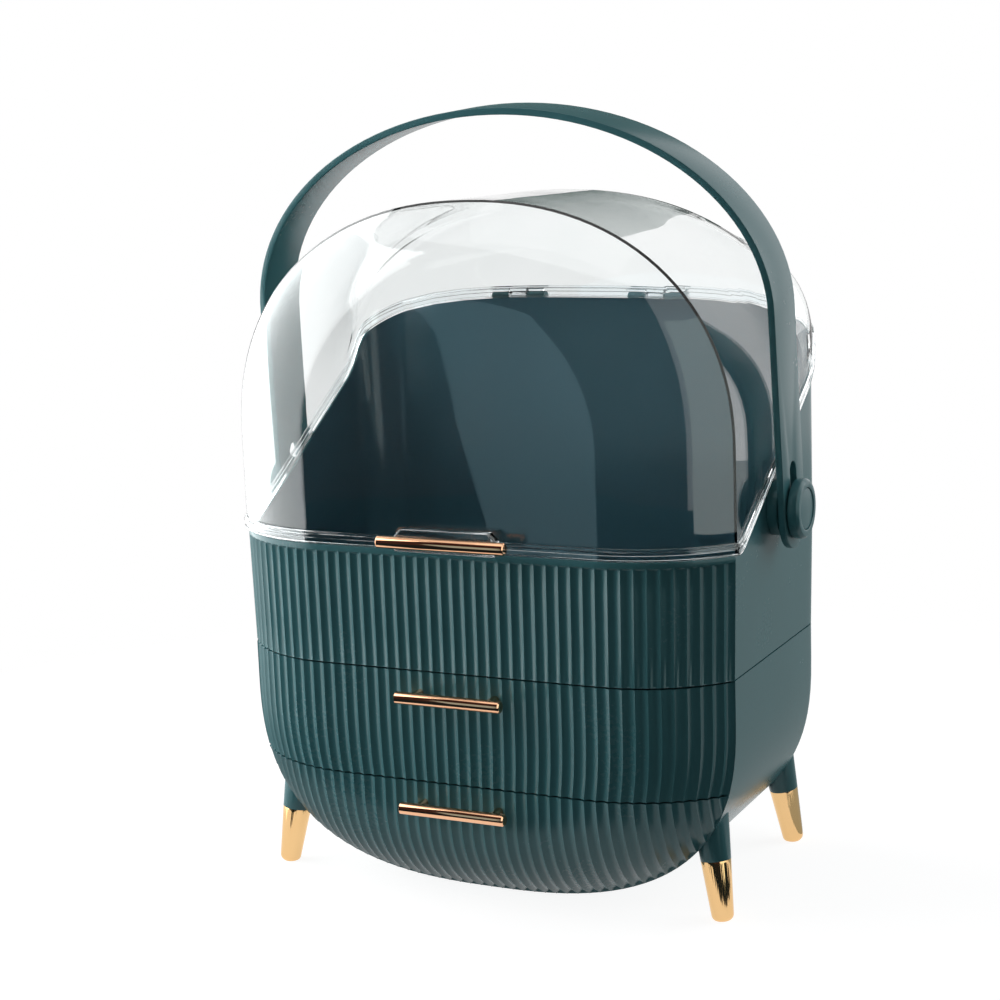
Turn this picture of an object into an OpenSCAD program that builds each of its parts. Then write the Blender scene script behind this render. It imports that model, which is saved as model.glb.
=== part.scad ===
// Dustproof makeup organizer: a fluted casing with two drawers, a clear domed lid and a sliding bail handle.
// X runs to the right, Y to the back and Z up. The legs stand on Z = 0.

/* [Casing] */
// Width across the casing at the seam over the upper drawer
casing_w = 300; // [280:1:320]
// How far the casing's top edge stands out past the seam at each side
edge_flare = 1.5; // [0.5:0.1:3]
// Depth from the ribs' crests to the back wall
casing_d = 192; // [180:1:205]
// Depth of the bow of the fluted front, from its middle to the creases
bow_depth = 34.5; // [30:0.5:38]
// Width of the flat middle of the fluted front
flat_w = 169; // [150:1:185]
// Radius of the upright rear corners
corner_r = 28; // [22:1:34]
// Wall of the casing
casing_wall = 2.6; // [2:0.1:3.2]
// Height of the underside of the belly
belly_z = 2.5; // [1:0.5:8]
// Height where the sides start to round in to the belly
round_z = 117.5; // [112:0.5:122]
// Squareness of the belly's outline, 2 is an ellipse
belly_power = 2.65; // [2.3:0.05:3]

/* [Seams and edges] */
// Height of the seam over the upper drawer
high_seam_z = 137.5; // [132:0.5:142]
// Height of the seam between the drawers
low_seam_z = 73.5; // [68:0.5:80]
// Gap at the seams between the fluted fronts
seam_gap = 1; // [0.8:0.1:1.6]
// Gap between pieces that part from each other
part_gap = 0.3; // [0.2:0.05:0.5]
// Height of the casing's top edge in front
edge_z = 206.3; // [203:0.1:210]
// Depth behind the front where the side edge starts to climb
climb_y = 40; // [40:0.5:46]
// Rise of the side edge for each millimetre back
climb_slope = 0.62; // [0.5:0.01:0.66]
// Extra rise of the edge round each rear corner
corner_slope = 1.1; // [1.1:0.05:1.4]
// Height where the back wall's arched top starts at the sides
arch_base_z = 287.5; // [280:0.5:292]
// Rise of the back wall's arched top
arch_rise = 40.5; // [36:0.5:44]
// Squareness of the back wall's arched top
arch_power = 3; // [2.6:0.1:3.4]

/* [Flutes] */
// Number of hollow flutes across the front; a sharp rib stands between each two
flute_count = 46; // [40:1:50]
// Depth of the flutes behind the ribs' crests
flute_depth = 1.5; // [1:0.1:1.8]
// Height of the plain band over the flutes
band_h = 3.3; // [2.8:0.1:6]
// Height over which the flutes' tops fade out
flute_fade = 1.4; // [1:0.1:3]

/* [Drawers] */
// Wall of the drawer fronts
front_wall = 2.5; // [2:0.1:3]
// Wall and floor of the drawer trays
tray_wall = 2; // [1.6:0.1:2.4]
// Running gap round the drawer trays
tray_gap = 0.6; // [0.5:0.1:1]
// Distance between the trays and the back wall's inner face
tray_back_gap = 24; // [16:1:40]
// Radius of the upper tray's rear corners
tray_corner_r = 12; // [8:1:20]
// Height of the upper tray's walls
high_tray_h = 57; // [45:1:58]
// Width of the guide lip round the upper tray
tray_lip = 3; // [2:0.1:3.1]
// Thickness of the shelf between the drawers
shelf_t = 2; // [1.6:0.1:2.4]

/* [Bars] */
// Diameter of the gold bars
bar_dia = 7; // [6:0.1:8]
// Chamfer on the bars' ends
bar_chamfer = 0.7; // [0.4:0.1:1]
// Length of the drawer bars
drawer_bar_l = 64.6; // [56:0.2:72]
// Distance of the drawer bars' middle in front of the ribs
drawer_bar_out = 11; // [9:0.5:12]
// Height of the upper drawer's bar
high_bar_z = 124.8; // [118:0.2:128]
// Height of the lower drawer's bar
low_bar_z = 60.9; // [56:0.2:63]
// Diameter of the posts that carry a drawer bar
post_dia = 5; // [4:0.1:6]
// Distance between the posts of a drawer bar
post_pitch = 46; // [38:1:50]
// Diameter of the bar screws' shanks
screw_dia = 3; // [2.5:0.1:3]
// Diameter of the bar screws' heads
screw_head_dia = 5.6; // [5:0.1:7]
// Height of the bar screws' heads
screw_head_h = 1.8; // [1.4:0.1:2.4]
// Length of the lid bar
lid_bar_l = 77.6; // [70:0.2:84]
// Distance of the lid bar's middle in front of the ribs
lid_bar_out = 12; // [11.5:0.1:13]
// Height of the lid bar
lid_bar_z = 212.6; // [210:0.2:215]
// Length of the clear bracket behind the lid bar
bracket_l = 62; // [54:1:68]
// Height of the clear bracket
bracket_h = 12.8; // [11.5:0.1:14]

/* [Lid] */
// How far the lid's sides stand out past the casing's edge
lid_over = 1; // [0.8:0.1:1.4]
// Wall of the lid
lid_wall = 2.4; // [2:0.1:2.6]
// Height where the lid's arch springs from its upright sides
lid_spring_z = 262.5; // [256:0.5:268]
// Rise of the lid's arch
lid_rise = 132.5; // [125:0.5:138]
// Squareness of the lid's arch
lid_power = 2.2; // [2:0.05:2.4]
// Depth behind the front where the lid's top starts to round down to the back
vault_y = 146; // [135:1:155]
// Gap between the casing's top edge and the lid
lid_gap = 0.4; // [0.3:0.05:0.6]
// Height of the lid's rim
rim_h = 7; // [6:0.2:9]
// Distance that the rim stands out from the lid
rim_out = 1.6; // [1.2:0.1:1.8]

/* [Lid hinge] */
// Diameter of the hinge barrels
barrel_dia = 8; // [7:0.1:8.4]
// Diameter of the hinge pins
hinge_pin_dia = 3.4; // [3:0.1:4]
// Running clearance round the hinge pins
pin_clearance = 0.05; // [0.02:0.01:0.09]
// Distance of each hinge from the middle
hinge_x = 46; // [40:1:48]
// Length of one hinge
hinge_l = 36; // [30:1:40]
// Thickness of the hinge leaves
leaf_t = 1.6; // [1.2:0.1:1.8]
// Height of the fixed hinge leaves
leaf_h = 20; // [14:1:26]
// Gap between the hinge barrels and the lid's rim
barrel_gap = 0.4; // [0.3:0.05:0.8]

/* [Handle] */
// Height of the handle's turning axis
pivot_z = 220.5; // [216:0.5:224]
// Depth of the handle's turning axis behind the front
pivot_y = 100.5; // [96:0.5:106]
// Lean of the handle to the front, in degrees
lean = 4; // [0:0.5:6]
// Distance between the casing's side and the strap at the foot of the handle's arch
strap_clear = 5.6; // [5:0.1:8]
// Thickness of the handle strap
strap_t = 3.9; // [3.2:0.1:4]
// Width of the handle strap
strap_w = 35.5; // [32:0.5:38]
// Height of the foot of the arch over the turning axis
arm_h = 110; // [104:1:116]
// Rise of the handle's arch
handle_rise = 115; // [111:1:120]
// Flare of the arms outwards for each millimetre down
arm_flare = 0.017; // [0.01:0.001:0.02]
// Reach of the strap's round ends below the turning axis
strap_tail = 22.4; // [19:0.2:26]
// Travel of the strap along its slots
slot_travel = 21; // [16:0.5:24]

/* [Handle pivots] */
// Diameter of the pivot studs
stud_dia = 10; // [8:0.5:10]
// Gap between a stud and the sides of its slot
slot_gap = 0.5; // [0.4:0.05:0.8]
// Diameter of the side bosses
boss_dia = 31; // [28:0.5:33]
// Least play between the strap and the washers
strap_play = 0.7; // [0.4:0.1:1]
// Diameter of the knobs
knob_dia = 33.4; // [31:0.2:36]
// Thickness of the knobs
knob_t = 6.6; // [6:0.1:8]
// Chamfer round the knobs
knob_chamfer = 1.6; // [1:0.1:2]
// Diameter of the recessed caps in the knobs
knob_cap_dia = 23; // [19:0.5:26]
// Depth of the recess that holds a knob cap
knob_recess = 1.6; // [1.2:0.1:2]
// Thickness of the knob caps
knob_cap_t = 1.1; // [0.8:0.1:1.1]
// Diameter of the washers behind the strap
washer_dia = 22; // [18:0.5:26]
// Thickness of the washers
washer_t = 0.5; // [0.4:0.05:0.6]

/* [Legs] */
// Distance of the front feet's middles inside the casing's sides
front_foot_in = 11; // [8:0.5:18]
// Depth of the front feet behind the front
front_foot_y = 40; // [38:0.5:46]
// Distance of the rear feet's middles inside the casing's sides
rear_foot_in = 15; // [12:0.5:22]
// Distance of the rear feet's middles ahead of the back wall
rear_foot_ahead = 15; // [12:0.5:24]
// Shift of a leg inwards for each millimetre up
leg_splay = 0.15; // [0.1:0.01:0.18]
// Shift of a leg to the middle of the depth for each millimetre up
leg_rake = 0.1; // [0.09:0.01:0.14]
// Height of the joint between a leg and its gold foot
foot_h = 33.5; // [28:0.5:36]
// Diameter of a leg at the joint
leg_dia = 17; // [15:0.2:17.4]
// Diameter of a foot near the floor
foot_dia = 12.6; // [10:0.2:14]
// Radius that rounds the bottom of a foot
foot_round = 4; // [3:0.2:4.6]
// Height that the legs are drawn to before the belly trims them
leg_top_z = 66; // [62:1:72]

/* [Hidden] */
$fn = 48;

teal = [0.10, 0.30, 0.31];
dark_teal = [0.06, 0.18, 0.20];
gold = [0.86, 0.62, 0.38];
steel = [0.6, 0.6, 0.62];
clear = [0.85, 0.92, 0.95, 0.4];

flat_half = flat_w / 2;
half_w = casing_w / 2;
edge_half = half_w + edge_flare;
lid_half = edge_half + lid_over;
belly_rise = round_z - belly_z;
corner_y = casing_d - corner_r;
hinge_y = casing_d + rim_out + barrel_gap + barrel_dia / 2;
front_y = -lid_bar_out - bar_dia / 2;
back_y = hinge_y + barrel_dia / 2;
mid_y = (front_y + back_y) / 2;
bar_r = bar_dia / 2;
flute_top_z = edge_z - band_h;
front_foot_x = half_w - front_foot_in;
rear_foot_x = half_w - rear_foot_in;
rear_foot_y = casing_d - rear_foot_ahead;
// Facets across one flute and the share of its depth that its quarter points have
facets_a_flute = 4;
quarter_hollow = 0.75;
// Degrees between the columns round a rear corner and round the belly
corner_step = 15;
belly_step = 6;
// Gap between pieces that are glued or screwed together
snug = 0.05;

// ---- rules of the outline ----

// Share of a superellipse's height that is left at a share t of its width
function arch_share(t, power) = pow(max(0, 1 - pow(min(1, abs(t)), power)), 1 / power);

// Radius of the bow at each side of a front of half width w
function bow_r(w) = (pow(w - flat_half, 2) + pow(bow_depth, 2)) / (2 * bow_depth);

// Angle of the bow at the crease, for a surface that lies o outside half width w
function bow_angle(w, o) = asin((w + o - flat_half) / (bow_r(w) + o));

// Depth of the bow at a distance x from the middle, for half width w
function bow_y(x, w) = let (d = max(0, min(x, w) - flat_half), r = bow_r(w)) r - sqrt(r * r - d * d);

// Half width of the casing at height z
function casing_half(z) =
    z < round_z ? half_w * arch_share((round_z - z) / belly_rise, belly_power)
    : half_w + (edge_half - half_w) * max(0, min(1, (z - high_seam_z) / (edge_z - high_seam_z)));

// Height of the belly's outline at a distance x from the middle
function belly_edge(x) = round_z - belly_rise * arch_share(x / half_w, belly_power);

// Share of the full outline on which the point x, z lies
function outline_share(x, z) =
    z >= round_z ? abs(x) / half_w
    : pow(pow(abs(x) / half_w, belly_power) + pow((round_z - z) / belly_rise, belly_power), 1 / belly_power);

// A ramp that starts smoothly over the width w on each side of zero
function soft_ramp(t, w) = t < -w ? 0 : t > w ? t : pow(t + w, 2) / (4 * w);

// Height of the casing's top edge over the plan point x, y
climb_blend = 5;
corner_blend = 6;
function side_edge(y) =
    edge_z + climb_slope * soft_ramp(y - climb_y, climb_blend)
    + corner_slope * soft_ramp(y - corner_y, corner_blend);
function rear_edge(x) = arch_base_z + arch_rise * arch_share(x / lid_half, arch_power);
function top_edge(x, y) = min(side_edge(y), rear_edge(x));

// ---- the plan loop, as stations that every offset shares ----

// Share of the front's length from the middle to a crease that is flat
function flat_share(w) = flat_half / (flat_half + bow_r(w) * bow_angle(w, 0) * PI / 180);

// Plan point of the front at a share t of its length, -1 and 1 at the creases
function front_point(t, w, o) =
    let (
        fs = flat_share(w),
        a = abs(t) <= fs ? 0 : (abs(t) - fs) / (1 - fs) * bow_angle(w, o),
        side = t < 0 ? -1 : 1
    )
    abs(t) <= fs ? [t / fs * flat_half, -o]
    : [side * (flat_half + (bow_r(w) + o) * sin(a)), bow_r(w) - (bow_r(w) + o) * cos(a)];

// Outward direction of the front in plan
function front_normal(t, w) =
    let (fs = flat_share(w), a = abs(t) <= fs ? 0 : (abs(t) - fs) / (1 - fs) * bow_angle(w, 0))
    [(t < 0 ? -1 : 1) * sin(a), -cos(a)];

// Depths of the sides' columns, closer where the edge starts to climb
side_ys = [38, climb_y - 1, climb_y + 2, climb_y + 6, 75, 110, vault_y, (vault_y + corner_y) / 2];
corner_angles = [for (a = [0:corner_step:90]) a];
rear_shares = [0.5, 0, -0.5];

// The sides and the back, from the right crease round to the left one
function back_loop(w, o) =
    let (
        side = [for (y = side_ys) [w + o, y]],
        corner = [for (a = corner_angles)
            [w - corner_r + (corner_r + o) * cos(a), corner_y + (corner_r + o) * sin(a)]],
        rear = [for (s = rear_shares) [s * (w - corner_r), casing_d + o]],
        half = concat(side, corner)
    )
    concat(half, rear, [for (i = [len(half) - 1:-1:0]) [-half[i][0], half[i][1]]]);

// ---- walls built from an outer and an inner grid of points ----

// Middle of a row of points
function row_middle(row) = [for (k = [0:2]) let (v = [for (p = row) p[k]]) (min(v) + max(v)) / 2];

// One solid between two grids. Rows run along the first index. Columns close on themselves when wrap is
// true. Inner column k lies behind outer column seat[k]. With cap, the first row of each grid is closed flat.
module grid_wall(outer, inner, seat, wrap = false, cap = false, flip = false) {
    ro = len(outer);
    co = len(outer[0]);
    ri = len(inner);
    ci = len(inner[0]);
    base = ro * co;
    points = concat(
        [for (row = outer) each row],
        [for (row = inner) each row],
        [row_middle(outer[0]), row_middle(inner[0])]
    );
    middle = ro * co + ri * ci;
    last_o = wrap ? co : co - 1;
    last_i = wrap ? ci : ci - 1;
    skin = [for (r = [0:ro - 2]) for (c = [0:last_o - 1])
        let (a = r * co + c, b = r * co + (c + 1) % co, d = a + co, e = b + co)
        each [[a, b, e], [a, e, d]]];
    lining = [for (r = [0:ri - 2]) for (c = [0:last_i - 1])
        let (a = base + r * ci + c, b = base + r * ci + (c + 1) % ci, d = a + ci, e = b + ci)
        each [[a, e, b], [a, d, e]]];
    tops = [for (k = [0:last_i - 1])
        let (
            o = (ro - 1) * co,
            i = base + (ri - 1) * ci,
            near = i + k,
            far = i + (k + 1) % ci,
            s0 = seat[k],
            s1 = k + 1 < ci ? seat[k + 1] : co
        )
        each concat([[far, near, o + s0]], [for (s = [s0:s1 - 1]) [far, o + s, o + (s + 1) % co]])];
    starts = cap ? [] : [for (k = [0:last_i - 1])
        let (
            near = base + k,
            far = base + (k + 1) % ci,
            s0 = seat[k],
            s1 = k + 1 < ci ? seat[k + 1] : co
        )
        each concat([[far, s0, near]], [for (s = [s0:s1 - 1]) [far, (s + 1) % co, s]])];
    caps = !cap ? [] : concat(
        [for (c = [0:co - 1]) [middle, (c + 1) % co, c]],
        [for (c = [0:ci - 1]) [middle + 1, base + c, base + (c + 1) % ci]],
        wrap ? [] : [[0, base, base + ci - 1], [0, base + ci - 1, co - 1]]
    );
    sides = wrap ? [] : [for (r = [0:ro - 2])
        let (
            a = r * co,
            d = a + co,
            p = base + r * ci,
            q = p + ci,
            a2 = a + co - 1,
            d2 = d + co - 1,
            p2 = p + ci - 1,
            q2 = q + ci - 1
        )
        each [[a, d, q], [a, q, p], [a2, p2, q2], [a2, q2, d2]]];
    faces = [for (f = concat(skin, lining, tops, starts, caps, sides))
        if (points[f[0]] != points[f[1]] && points[f[1]] != points[f[2]] && points[f[0]] != points[f[2]]) f];
    polyhedron(points, flip ? [for (f = faces) [f[0], f[2], f[1]]] : faces, convexity = 8);
}

// A closed solid from one grid whose first row is a flat cap and whose last row is flat too
module grid_solid(grid) {
    rows = len(grid);
    cols = len(grid[0]);
    end = (rows - 1) * cols;
    middle = rows * cols;
    faces = concat(
        [for (r = [0:rows - 2]) for (c = [0:cols - 1])
            let (a = r * cols + c, b = r * cols + (c + 1) % cols, d = a + cols, e = b + cols)
            each [[a, b, e], [a, e, d]]],
        [for (c = [0:cols - 1]) [middle, (c + 1) % cols, c]],
        [for (c = [0:cols - 1]) [middle + 1, end + c, end + (c + 1) % cols]]
    );
    points = concat([for (row = grid) each row], [row_middle(grid[0]), row_middle(grid[rows - 1])]);
    polyhedron(points, [for (f = faces) [f[0], f[2], f[1]]], convexity = 4);
}

function each_column(n) = [for (k = [0:n - 1]) k];

// Moves a piece from the front plane's frame to the middle of the whole
module placed() {
    translate([0, -mid_y, 0]) children();
}

// ---- casing ----

front_count = flute_count * facets_a_flute;
// Depth of the hollow at station i: none on a rib's crest
function hollow(i) = i % facets_a_flute == 0 ? 0 : i % 2 == 1 ? flute_depth * quarter_hollow : flute_depth;

// One level of the upper shell's outer face; flutes is 1 where they are full and 0 where they have ended
function shell_row(w, flutes) =
    concat(
        [for (i = [0:front_count])
            let (
                t = 2 * i / front_count - 1,
                p = front_point(t, w, 0),
                n = front_normal(t, w),
                g = flutes * hollow(i)
            )
            [p[0] - n[0] * g, p[1] - n[1] * g]],
        back_loop(w, 0)
    );

// The same level of its inner face, with one point behind each rib's crest
function shell_inner_row(w) =
    concat(
        [for (i = [0:facets_a_flute:front_count]) front_point(2 * i / front_count - 1, w, -casing_wall)],
        back_loop(w, -casing_wall)
    );

// The edge of its flat underside, set in past the flutes
function shell_rest_row(w) =
    concat(
        [for (i = [0:front_count]) front_point(2 * i / front_count - 1, w, -casing_wall)],
        back_loop(w, -casing_wall)
    );

shell_seat = let (n = len(back_loop(half_w, 0)))
    concat([for (i = [0:facets_a_flute:front_count]) i], [for (k = [1:n]) front_count + k]);

function lifted(row, z) = [for (p = row) [p[0], p[1], z]];

// A row lifted to the top edge that its plan points have, and gap above it
function to_edge(row, plan, gap) =
    [for (i = [0:len(row) - 1]) [row[i][0], row[i][1], top_edge(plan[i][0], plan[i][1]) + gap]];

module upper_shell() {
    bottom_z = high_seam_z + seam_gap / 2;
    floor_z = bottom_z + casing_wall;
    plan = shell_row(edge_half, 0);
    inner_plan = [for (s = shell_seat) plan[s]];
    color(teal) placed()
        grid_wall(
            [
                lifted(shell_rest_row(casing_half(bottom_z)), bottom_z),
                lifted(shell_row(casing_half(bottom_z), 1), bottom_z),
                lifted(shell_row(casing_half(flute_top_z - flute_fade), 1), flute_top_z - flute_fade),
                lifted(shell_row(casing_half(flute_top_z), 0), flute_top_z),
                to_edge(plan, plan, 0)
            ],
            [
                lifted(shell_inner_row(casing_half(floor_z)), floor_z),
                to_edge(shell_inner_row(edge_half), inner_plan, 0)
            ],
            shell_seat, wrap = true, cap = true, flip = true
        );
}

// Outline of the belly behind the creases, as points x, z from the left top round to the right top
function belly_row(w, rise, share, top_z) =
    concat(
        [[-w * share, top_z]],
        [for (a = [0:belly_step:180])
            [-sign(cos(a)) * w * share * pow(abs(cos(a)), 2 / belly_power),
             round_z - rise * share * pow(sin(a), 2 / belly_power)]],
        [[w * share, top_z]]
    );

// One ring of the housing at the corner angle a: rings shrink round the rear corner towards the back wall
function housing_ring(a, inset, grow) =
    let (
        w = half_w - inset + grow,
        r = corner_r - inset + grow,
        share = (w - r + r * cos(a)) / w,
        y = corner_y + r * sin(a)
    )
    [for (p = belly_row(w, belly_rise - inset + grow, share, housing_top_z)) [p[0], y, p[1]]];

housing_top_z = high_seam_z + seam_gap / 2 - part_gap;
housing_front_y = bow_depth + part_gap;
tray_back_y = casing_d - casing_wall - tray_back_gap;

function housing_grid(inset, grow, front) =
    concat(
        [for (a = [90:-corner_step:0]) housing_ring(a, inset, grow)],
        [[for (p = housing_ring(0, inset, grow)) [p[0], front, p[2]]]]
    );

module lower_housing() {
    outer = housing_grid(0, 0, housing_front_y);
    color(teal) placed()
        grid_wall(
            outer, housing_grid(casing_wall, 0, housing_front_y), each_column(len(outer[0])),
            cap = true, flip = true
        );
}

// The housing's outer form as one solid, a little larger by grow
module housing_form(grow) {
    grid_solid(housing_grid(0, grow, housing_front_y - 1));
}

module drawer_shelf() {
    z = low_seam_z - shelf_t / 2;
    w = casing_half(z) - casing_wall - part_gap;
    y0 = housing_front_y + 1;
    y1 = casing_d - casing_wall - part_gap - corner_r;
    corner = [for (a = corner_angles) [w - corner_r + corner_r * cos(a), y1 + corner_r * sin(a)]];
    color(dark_teal) placed()
        translate([0, 0, z])
            linear_extrude(shelf_t)
                polygon(concat(
                    [[-w, y0], [w, y0]],
                    corner,
                    [for (i = [len(corner) - 1:-1:0]) [-corner[i][0], corner[i][1]]]
                ));
}

// ---- drawers ----

// Depth of the fluted front's surface at x, z
function front_y_at(x, z) = bow_y(half_w * min(1, outline_share(x, z)), half_w);

// A point of the fluted front moved in by g along the surface's normal; level keeps its height.
// The slopes are taken over h to each side.
function sunk(x, z, g, level) =
    let (
        h = 0.2,
        y = front_y_at(x, z),
        sx = (front_y_at(x + h, z) - front_y_at(x - h, z)) / (2 * h),
        sz = level ? 0 : (front_y_at(x, z + h) - front_y_at(x, z - h)) / (2 * h),
        n = sqrt(sx * sx + 1 + sz * sz)
    )
    [x - g * sx / n, min(bow_depth - part_gap, y + g / n), z - g * sz / n];

// Distance from the middle of front station t at height z
function station_x(t, z) = front_point(t, half_w, 0)[0] * casing_half(max(z, low_seam_z)) / half_w;

high_front_top = high_seam_z - seam_gap / 2;
high_front_bottom = low_seam_z + seam_gap / 2;
low_front_top = low_seam_z - seam_gap / 2;
high_rows = [0, 0.35, 0.7, 1];
low_rows = [0, 0.16, 0.34, 0.5, 0.64, 0.76, 0.86, 0.94, 1];

// Point of the upper drawer's front at station i and row share v; g sinks it
function high_point(i, v, g) =
    let (
        t = 2 * i / front_count - 1,
        z = high_front_top + (high_front_bottom - high_front_top) * v
    )
    sunk(station_x(t, z), z, g, true);

// Point of the lower drawer's front: each rib keeps to its upright plane and ends on the belly's edge.
// The flutes fade out where their plane is shorter than flute_run.
flute_run = 14;
least_run = 1;
function low_point(i, v, g) =
    let (
        t = 2 * i / front_count - 1,
        x = station_x(t, low_front_top),
        run = max(least_run, low_front_top - belly_edge(x))
    )
    sunk(x, low_front_top - run * v, g * min(1, run / flute_run), v == 0);

lining_inset = front_wall * 1.12;
lining_reach = (half_w - lining_inset) / half_w;
low_lining_reach = 1 - lining_inset / (low_front_top - belly_z);

// Depth of a fluted front's inner face at x, z
function lining_y(x, z) =
    let (
        r = bow_r(half_w),
        s = half_w * outline_share(x / lining_reach, z) * lining_reach,
        d = min(max(0, s - flat_half), r - front_wall)
    )
    r - sqrt(pow(r - front_wall, 2) - d * d);

// The inner face of a drawer front lies front_wall inside the outer one, smooth, one column a flute
function lining_point(p, z) =
    [p[0] * lining_reach, min(bow_depth - part_gap, lining_y(p[0] * lining_reach, p[2])), z];
function high_lining(i, v) = let (p = high_point(i, v, 0)) lining_point(p, p[2]);
function low_lining(i, v) =
    let (p = low_point(i, v, 0))
    lining_point(p, low_front_top - (low_front_top - p[2]) * low_lining_reach);

drawer_seat = [for (i = [0:facets_a_flute:front_count]) i];

module upper_drawer_front() {
    color(teal) placed() difference() {
        grid_wall(
            [for (v = high_rows) [for (i = [0:front_count]) high_point(i, v, hollow(i))]],
            [for (v = high_rows) [for (i = drawer_seat) high_lining(i, v)]],
            drawer_seat
        );
        post_holes(high_bar_z);
    }
}

module lower_drawer_front() {
    color(teal) placed() difference() {
        grid_wall(
            [for (v = low_rows) [for (i = [0:front_count]) low_point(i, v, hollow(i))]],
            [for (v = low_rows) [for (i = drawer_seat) low_lining(i, v)]],
            drawer_seat
        );
        post_holes(low_bar_z);
    }
}

tray_bow_steps = 6;
tray_slant = 1.2;

// Outline of the upper tray's plan: it follows the bow in front, inset moves it in
function tray_plan(w, inset) =
    let (
        reach = w - inset,
        y1 = tray_back_y - inset,
        c = tray_corner_r - inset,
        clear_y = screw_head_h + tray_gap + inset * tray_slant,
        half = concat(
            [for (k = [0:tray_bow_steps])
                let (x = flat_half + (reach - flat_half) * k / tray_bow_steps)
                [x, lining_y(x + inset, high_tray_z) + clear_y]],
            [for (a = corner_angles) [reach - c + c * cos(a), y1 - c + c * sin(a)]]
        )
    )
    concat(half, [for (i = [len(half) - 1:-1:0]) [-half[i][0], half[i][1]]]);

high_tray_z = low_seam_z + shelf_t / 2 + part_gap;
high_tray_half = casing_half(high_tray_z) - casing_wall - tray_gap - tray_lip;

module upper_drawer_tray() {
    lip_start = 4;
    color(dark_teal) placed()
        translate([0, 0, high_tray_z])
            difference() {
                union() {
                    linear_extrude(high_tray_h) polygon(tray_plan(high_tray_half, 0));
                    translate([0, 0, high_tray_h - tray_wall])
                        linear_extrude(tray_wall)
                            translate([-high_tray_half - tray_lip, housing_front_y + lip_start])
                                square([
                                    2 * (high_tray_half + tray_lip),
                                    tray_back_y - housing_front_y - tray_corner_r - lip_start
                                ]);
                }
                translate([0, 0, tray_wall])
                    linear_extrude(high_tray_h) polygon(tray_plan(high_tray_half, tray_wall));
            }
}

low_tray_top = low_seam_z - shelf_t / 2 - part_gap;

// Cross-section of the lower tray, set in from the belly's outline
function trough(inset) =
    let (w = half_w - casing_wall - tray_gap - inset, rise = belly_rise - casing_wall - tray_gap - inset)
    [for (a = [0:belly_step:180])
        [-sign(cos(a)) * w * pow(abs(cos(a)), 2 / belly_power),
         round_z - rise * pow(sin(a), 2 / belly_power)]];

module trough_block(inset, y0, y1, floor_z, top_z) {
    intersection() {
        translate([0, y1, 0]) rotate([90, 0, 0]) linear_extrude(y1 - y0) polygon(trough(inset));
        translate([-half_w, y0 - 1, floor_z]) cube([casing_w, y1 - y0 + 2, top_z - floor_z]);
    }
}

// Plan of the lip that covers the hollow of the lower drawer's bowed front
lip_corner = 5;
lip_end = 2;
function bow_lip() =
    let (
        top = [for (i = drawer_seat) low_lining(i, 0)],
        w = top[len(top) - 1][0]
    )
    concat(
        [for (p = top) if (p[1] < bow_depth - lip_end) [p[0] * (w - 2 * tray_gap) / w, p[1] + 2 * tray_gap]],
        [[w - lip_corner, bow_depth + tray_wall], [lip_corner - w, bow_depth + tray_wall]]
    );

module lower_drawer_tray() {
    y0 = bow_depth;
    y1 = tray_back_y;
    color(dark_teal) placed() {
        difference() {
            trough_block(0, y0, y1, belly_z, low_tray_top);
            trough_block(tray_wall, y0 + tray_wall, y1 - tray_wall, belly_z, low_tray_top + 1);
        }
        translate([0, 0, low_tray_top - tray_wall]) linear_extrude(tray_wall) polygon(bow_lip());
    }
}

// ---- bars and screws ----

// A bar along X with chamfered ends, its middle at the origin
module gold_bar(length) {
    rotate([0, 90, 0])
        rotate_extrude()
            polygon([
                [0, -length / 2], [bar_r - bar_chamfer, -length / 2], [bar_r, -length / 2 + bar_chamfer],
                [bar_r, length / 2 - bar_chamfer], [bar_r - bar_chamfer, length / 2], [0, length / 2]
            ]);
}

module at_posts(z) {
    for (side = [-1, 1])
        translate([side * post_pitch / 2, 0, z]) rotate([-90, 0, 0]) children();
}

// Depth of the round seats that the posts stand in, just past the deepest part of the flutes
post_seat = flute_depth + 2 * snug;

module post_holes(z) {
    at_posts(z) translate([0, 0, -1]) {
        cylinder(d = screw_dia + 8 * snug, h = 2 * front_wall);
        cylinder(d = post_dia + 2 * snug, h = 1 + post_seat);
    }
}

module drawer_bar(z) {
    color(gold) placed() difference() {
        union() {
            translate([0, -drawer_bar_out, z]) gold_bar(drawer_bar_l);
            at_posts(z) translate([0, 0, -drawer_bar_out])
                cylinder(d = post_dia, h = drawer_bar_out + post_seat - snug);
        }
        at_posts(z) translate([0, 0, -drawer_bar_out + bar_r]) cylinder(d = screw_dia, h = drawer_bar_out);
    }
}

module bar_screw_pair(z) {
    tip = bar_r - drawer_bar_out + 0.5;
    color(steel) placed() at_posts(z) {
        translate([0, 0, tip]) cylinder(d = screw_dia - 2 * snug, h = front_wall + 2 * snug - tip);
        translate([0, 0, front_wall + snug]) cylinder(d = screw_head_dia, h = screw_head_h);
    }
}

module upper_drawer_bar() {
    drawer_bar(high_bar_z);
}

module lower_drawer_bar() {
    drawer_bar(low_bar_z);
}

module upper_bar_screws() {
    bar_screw_pair(high_bar_z);
}

module lower_bar_screws() {
    bar_screw_pair(low_bar_z);
}

// ---- lid ----

lid_bow_steps = 6;
lid_arch_step = 6;

// Front stations of the lid and its rim, as shares of the front's length
lid_ts = let (fs = flat_share(lid_half))
    concat(
        [for (k = [lid_bow_steps:-1:0]) -(fs + (1 - fs) * k / lid_bow_steps)],
        [for (k = [0:lid_bow_steps]) fs + (1 - fs) * k / lid_bow_steps]
    );

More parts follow.
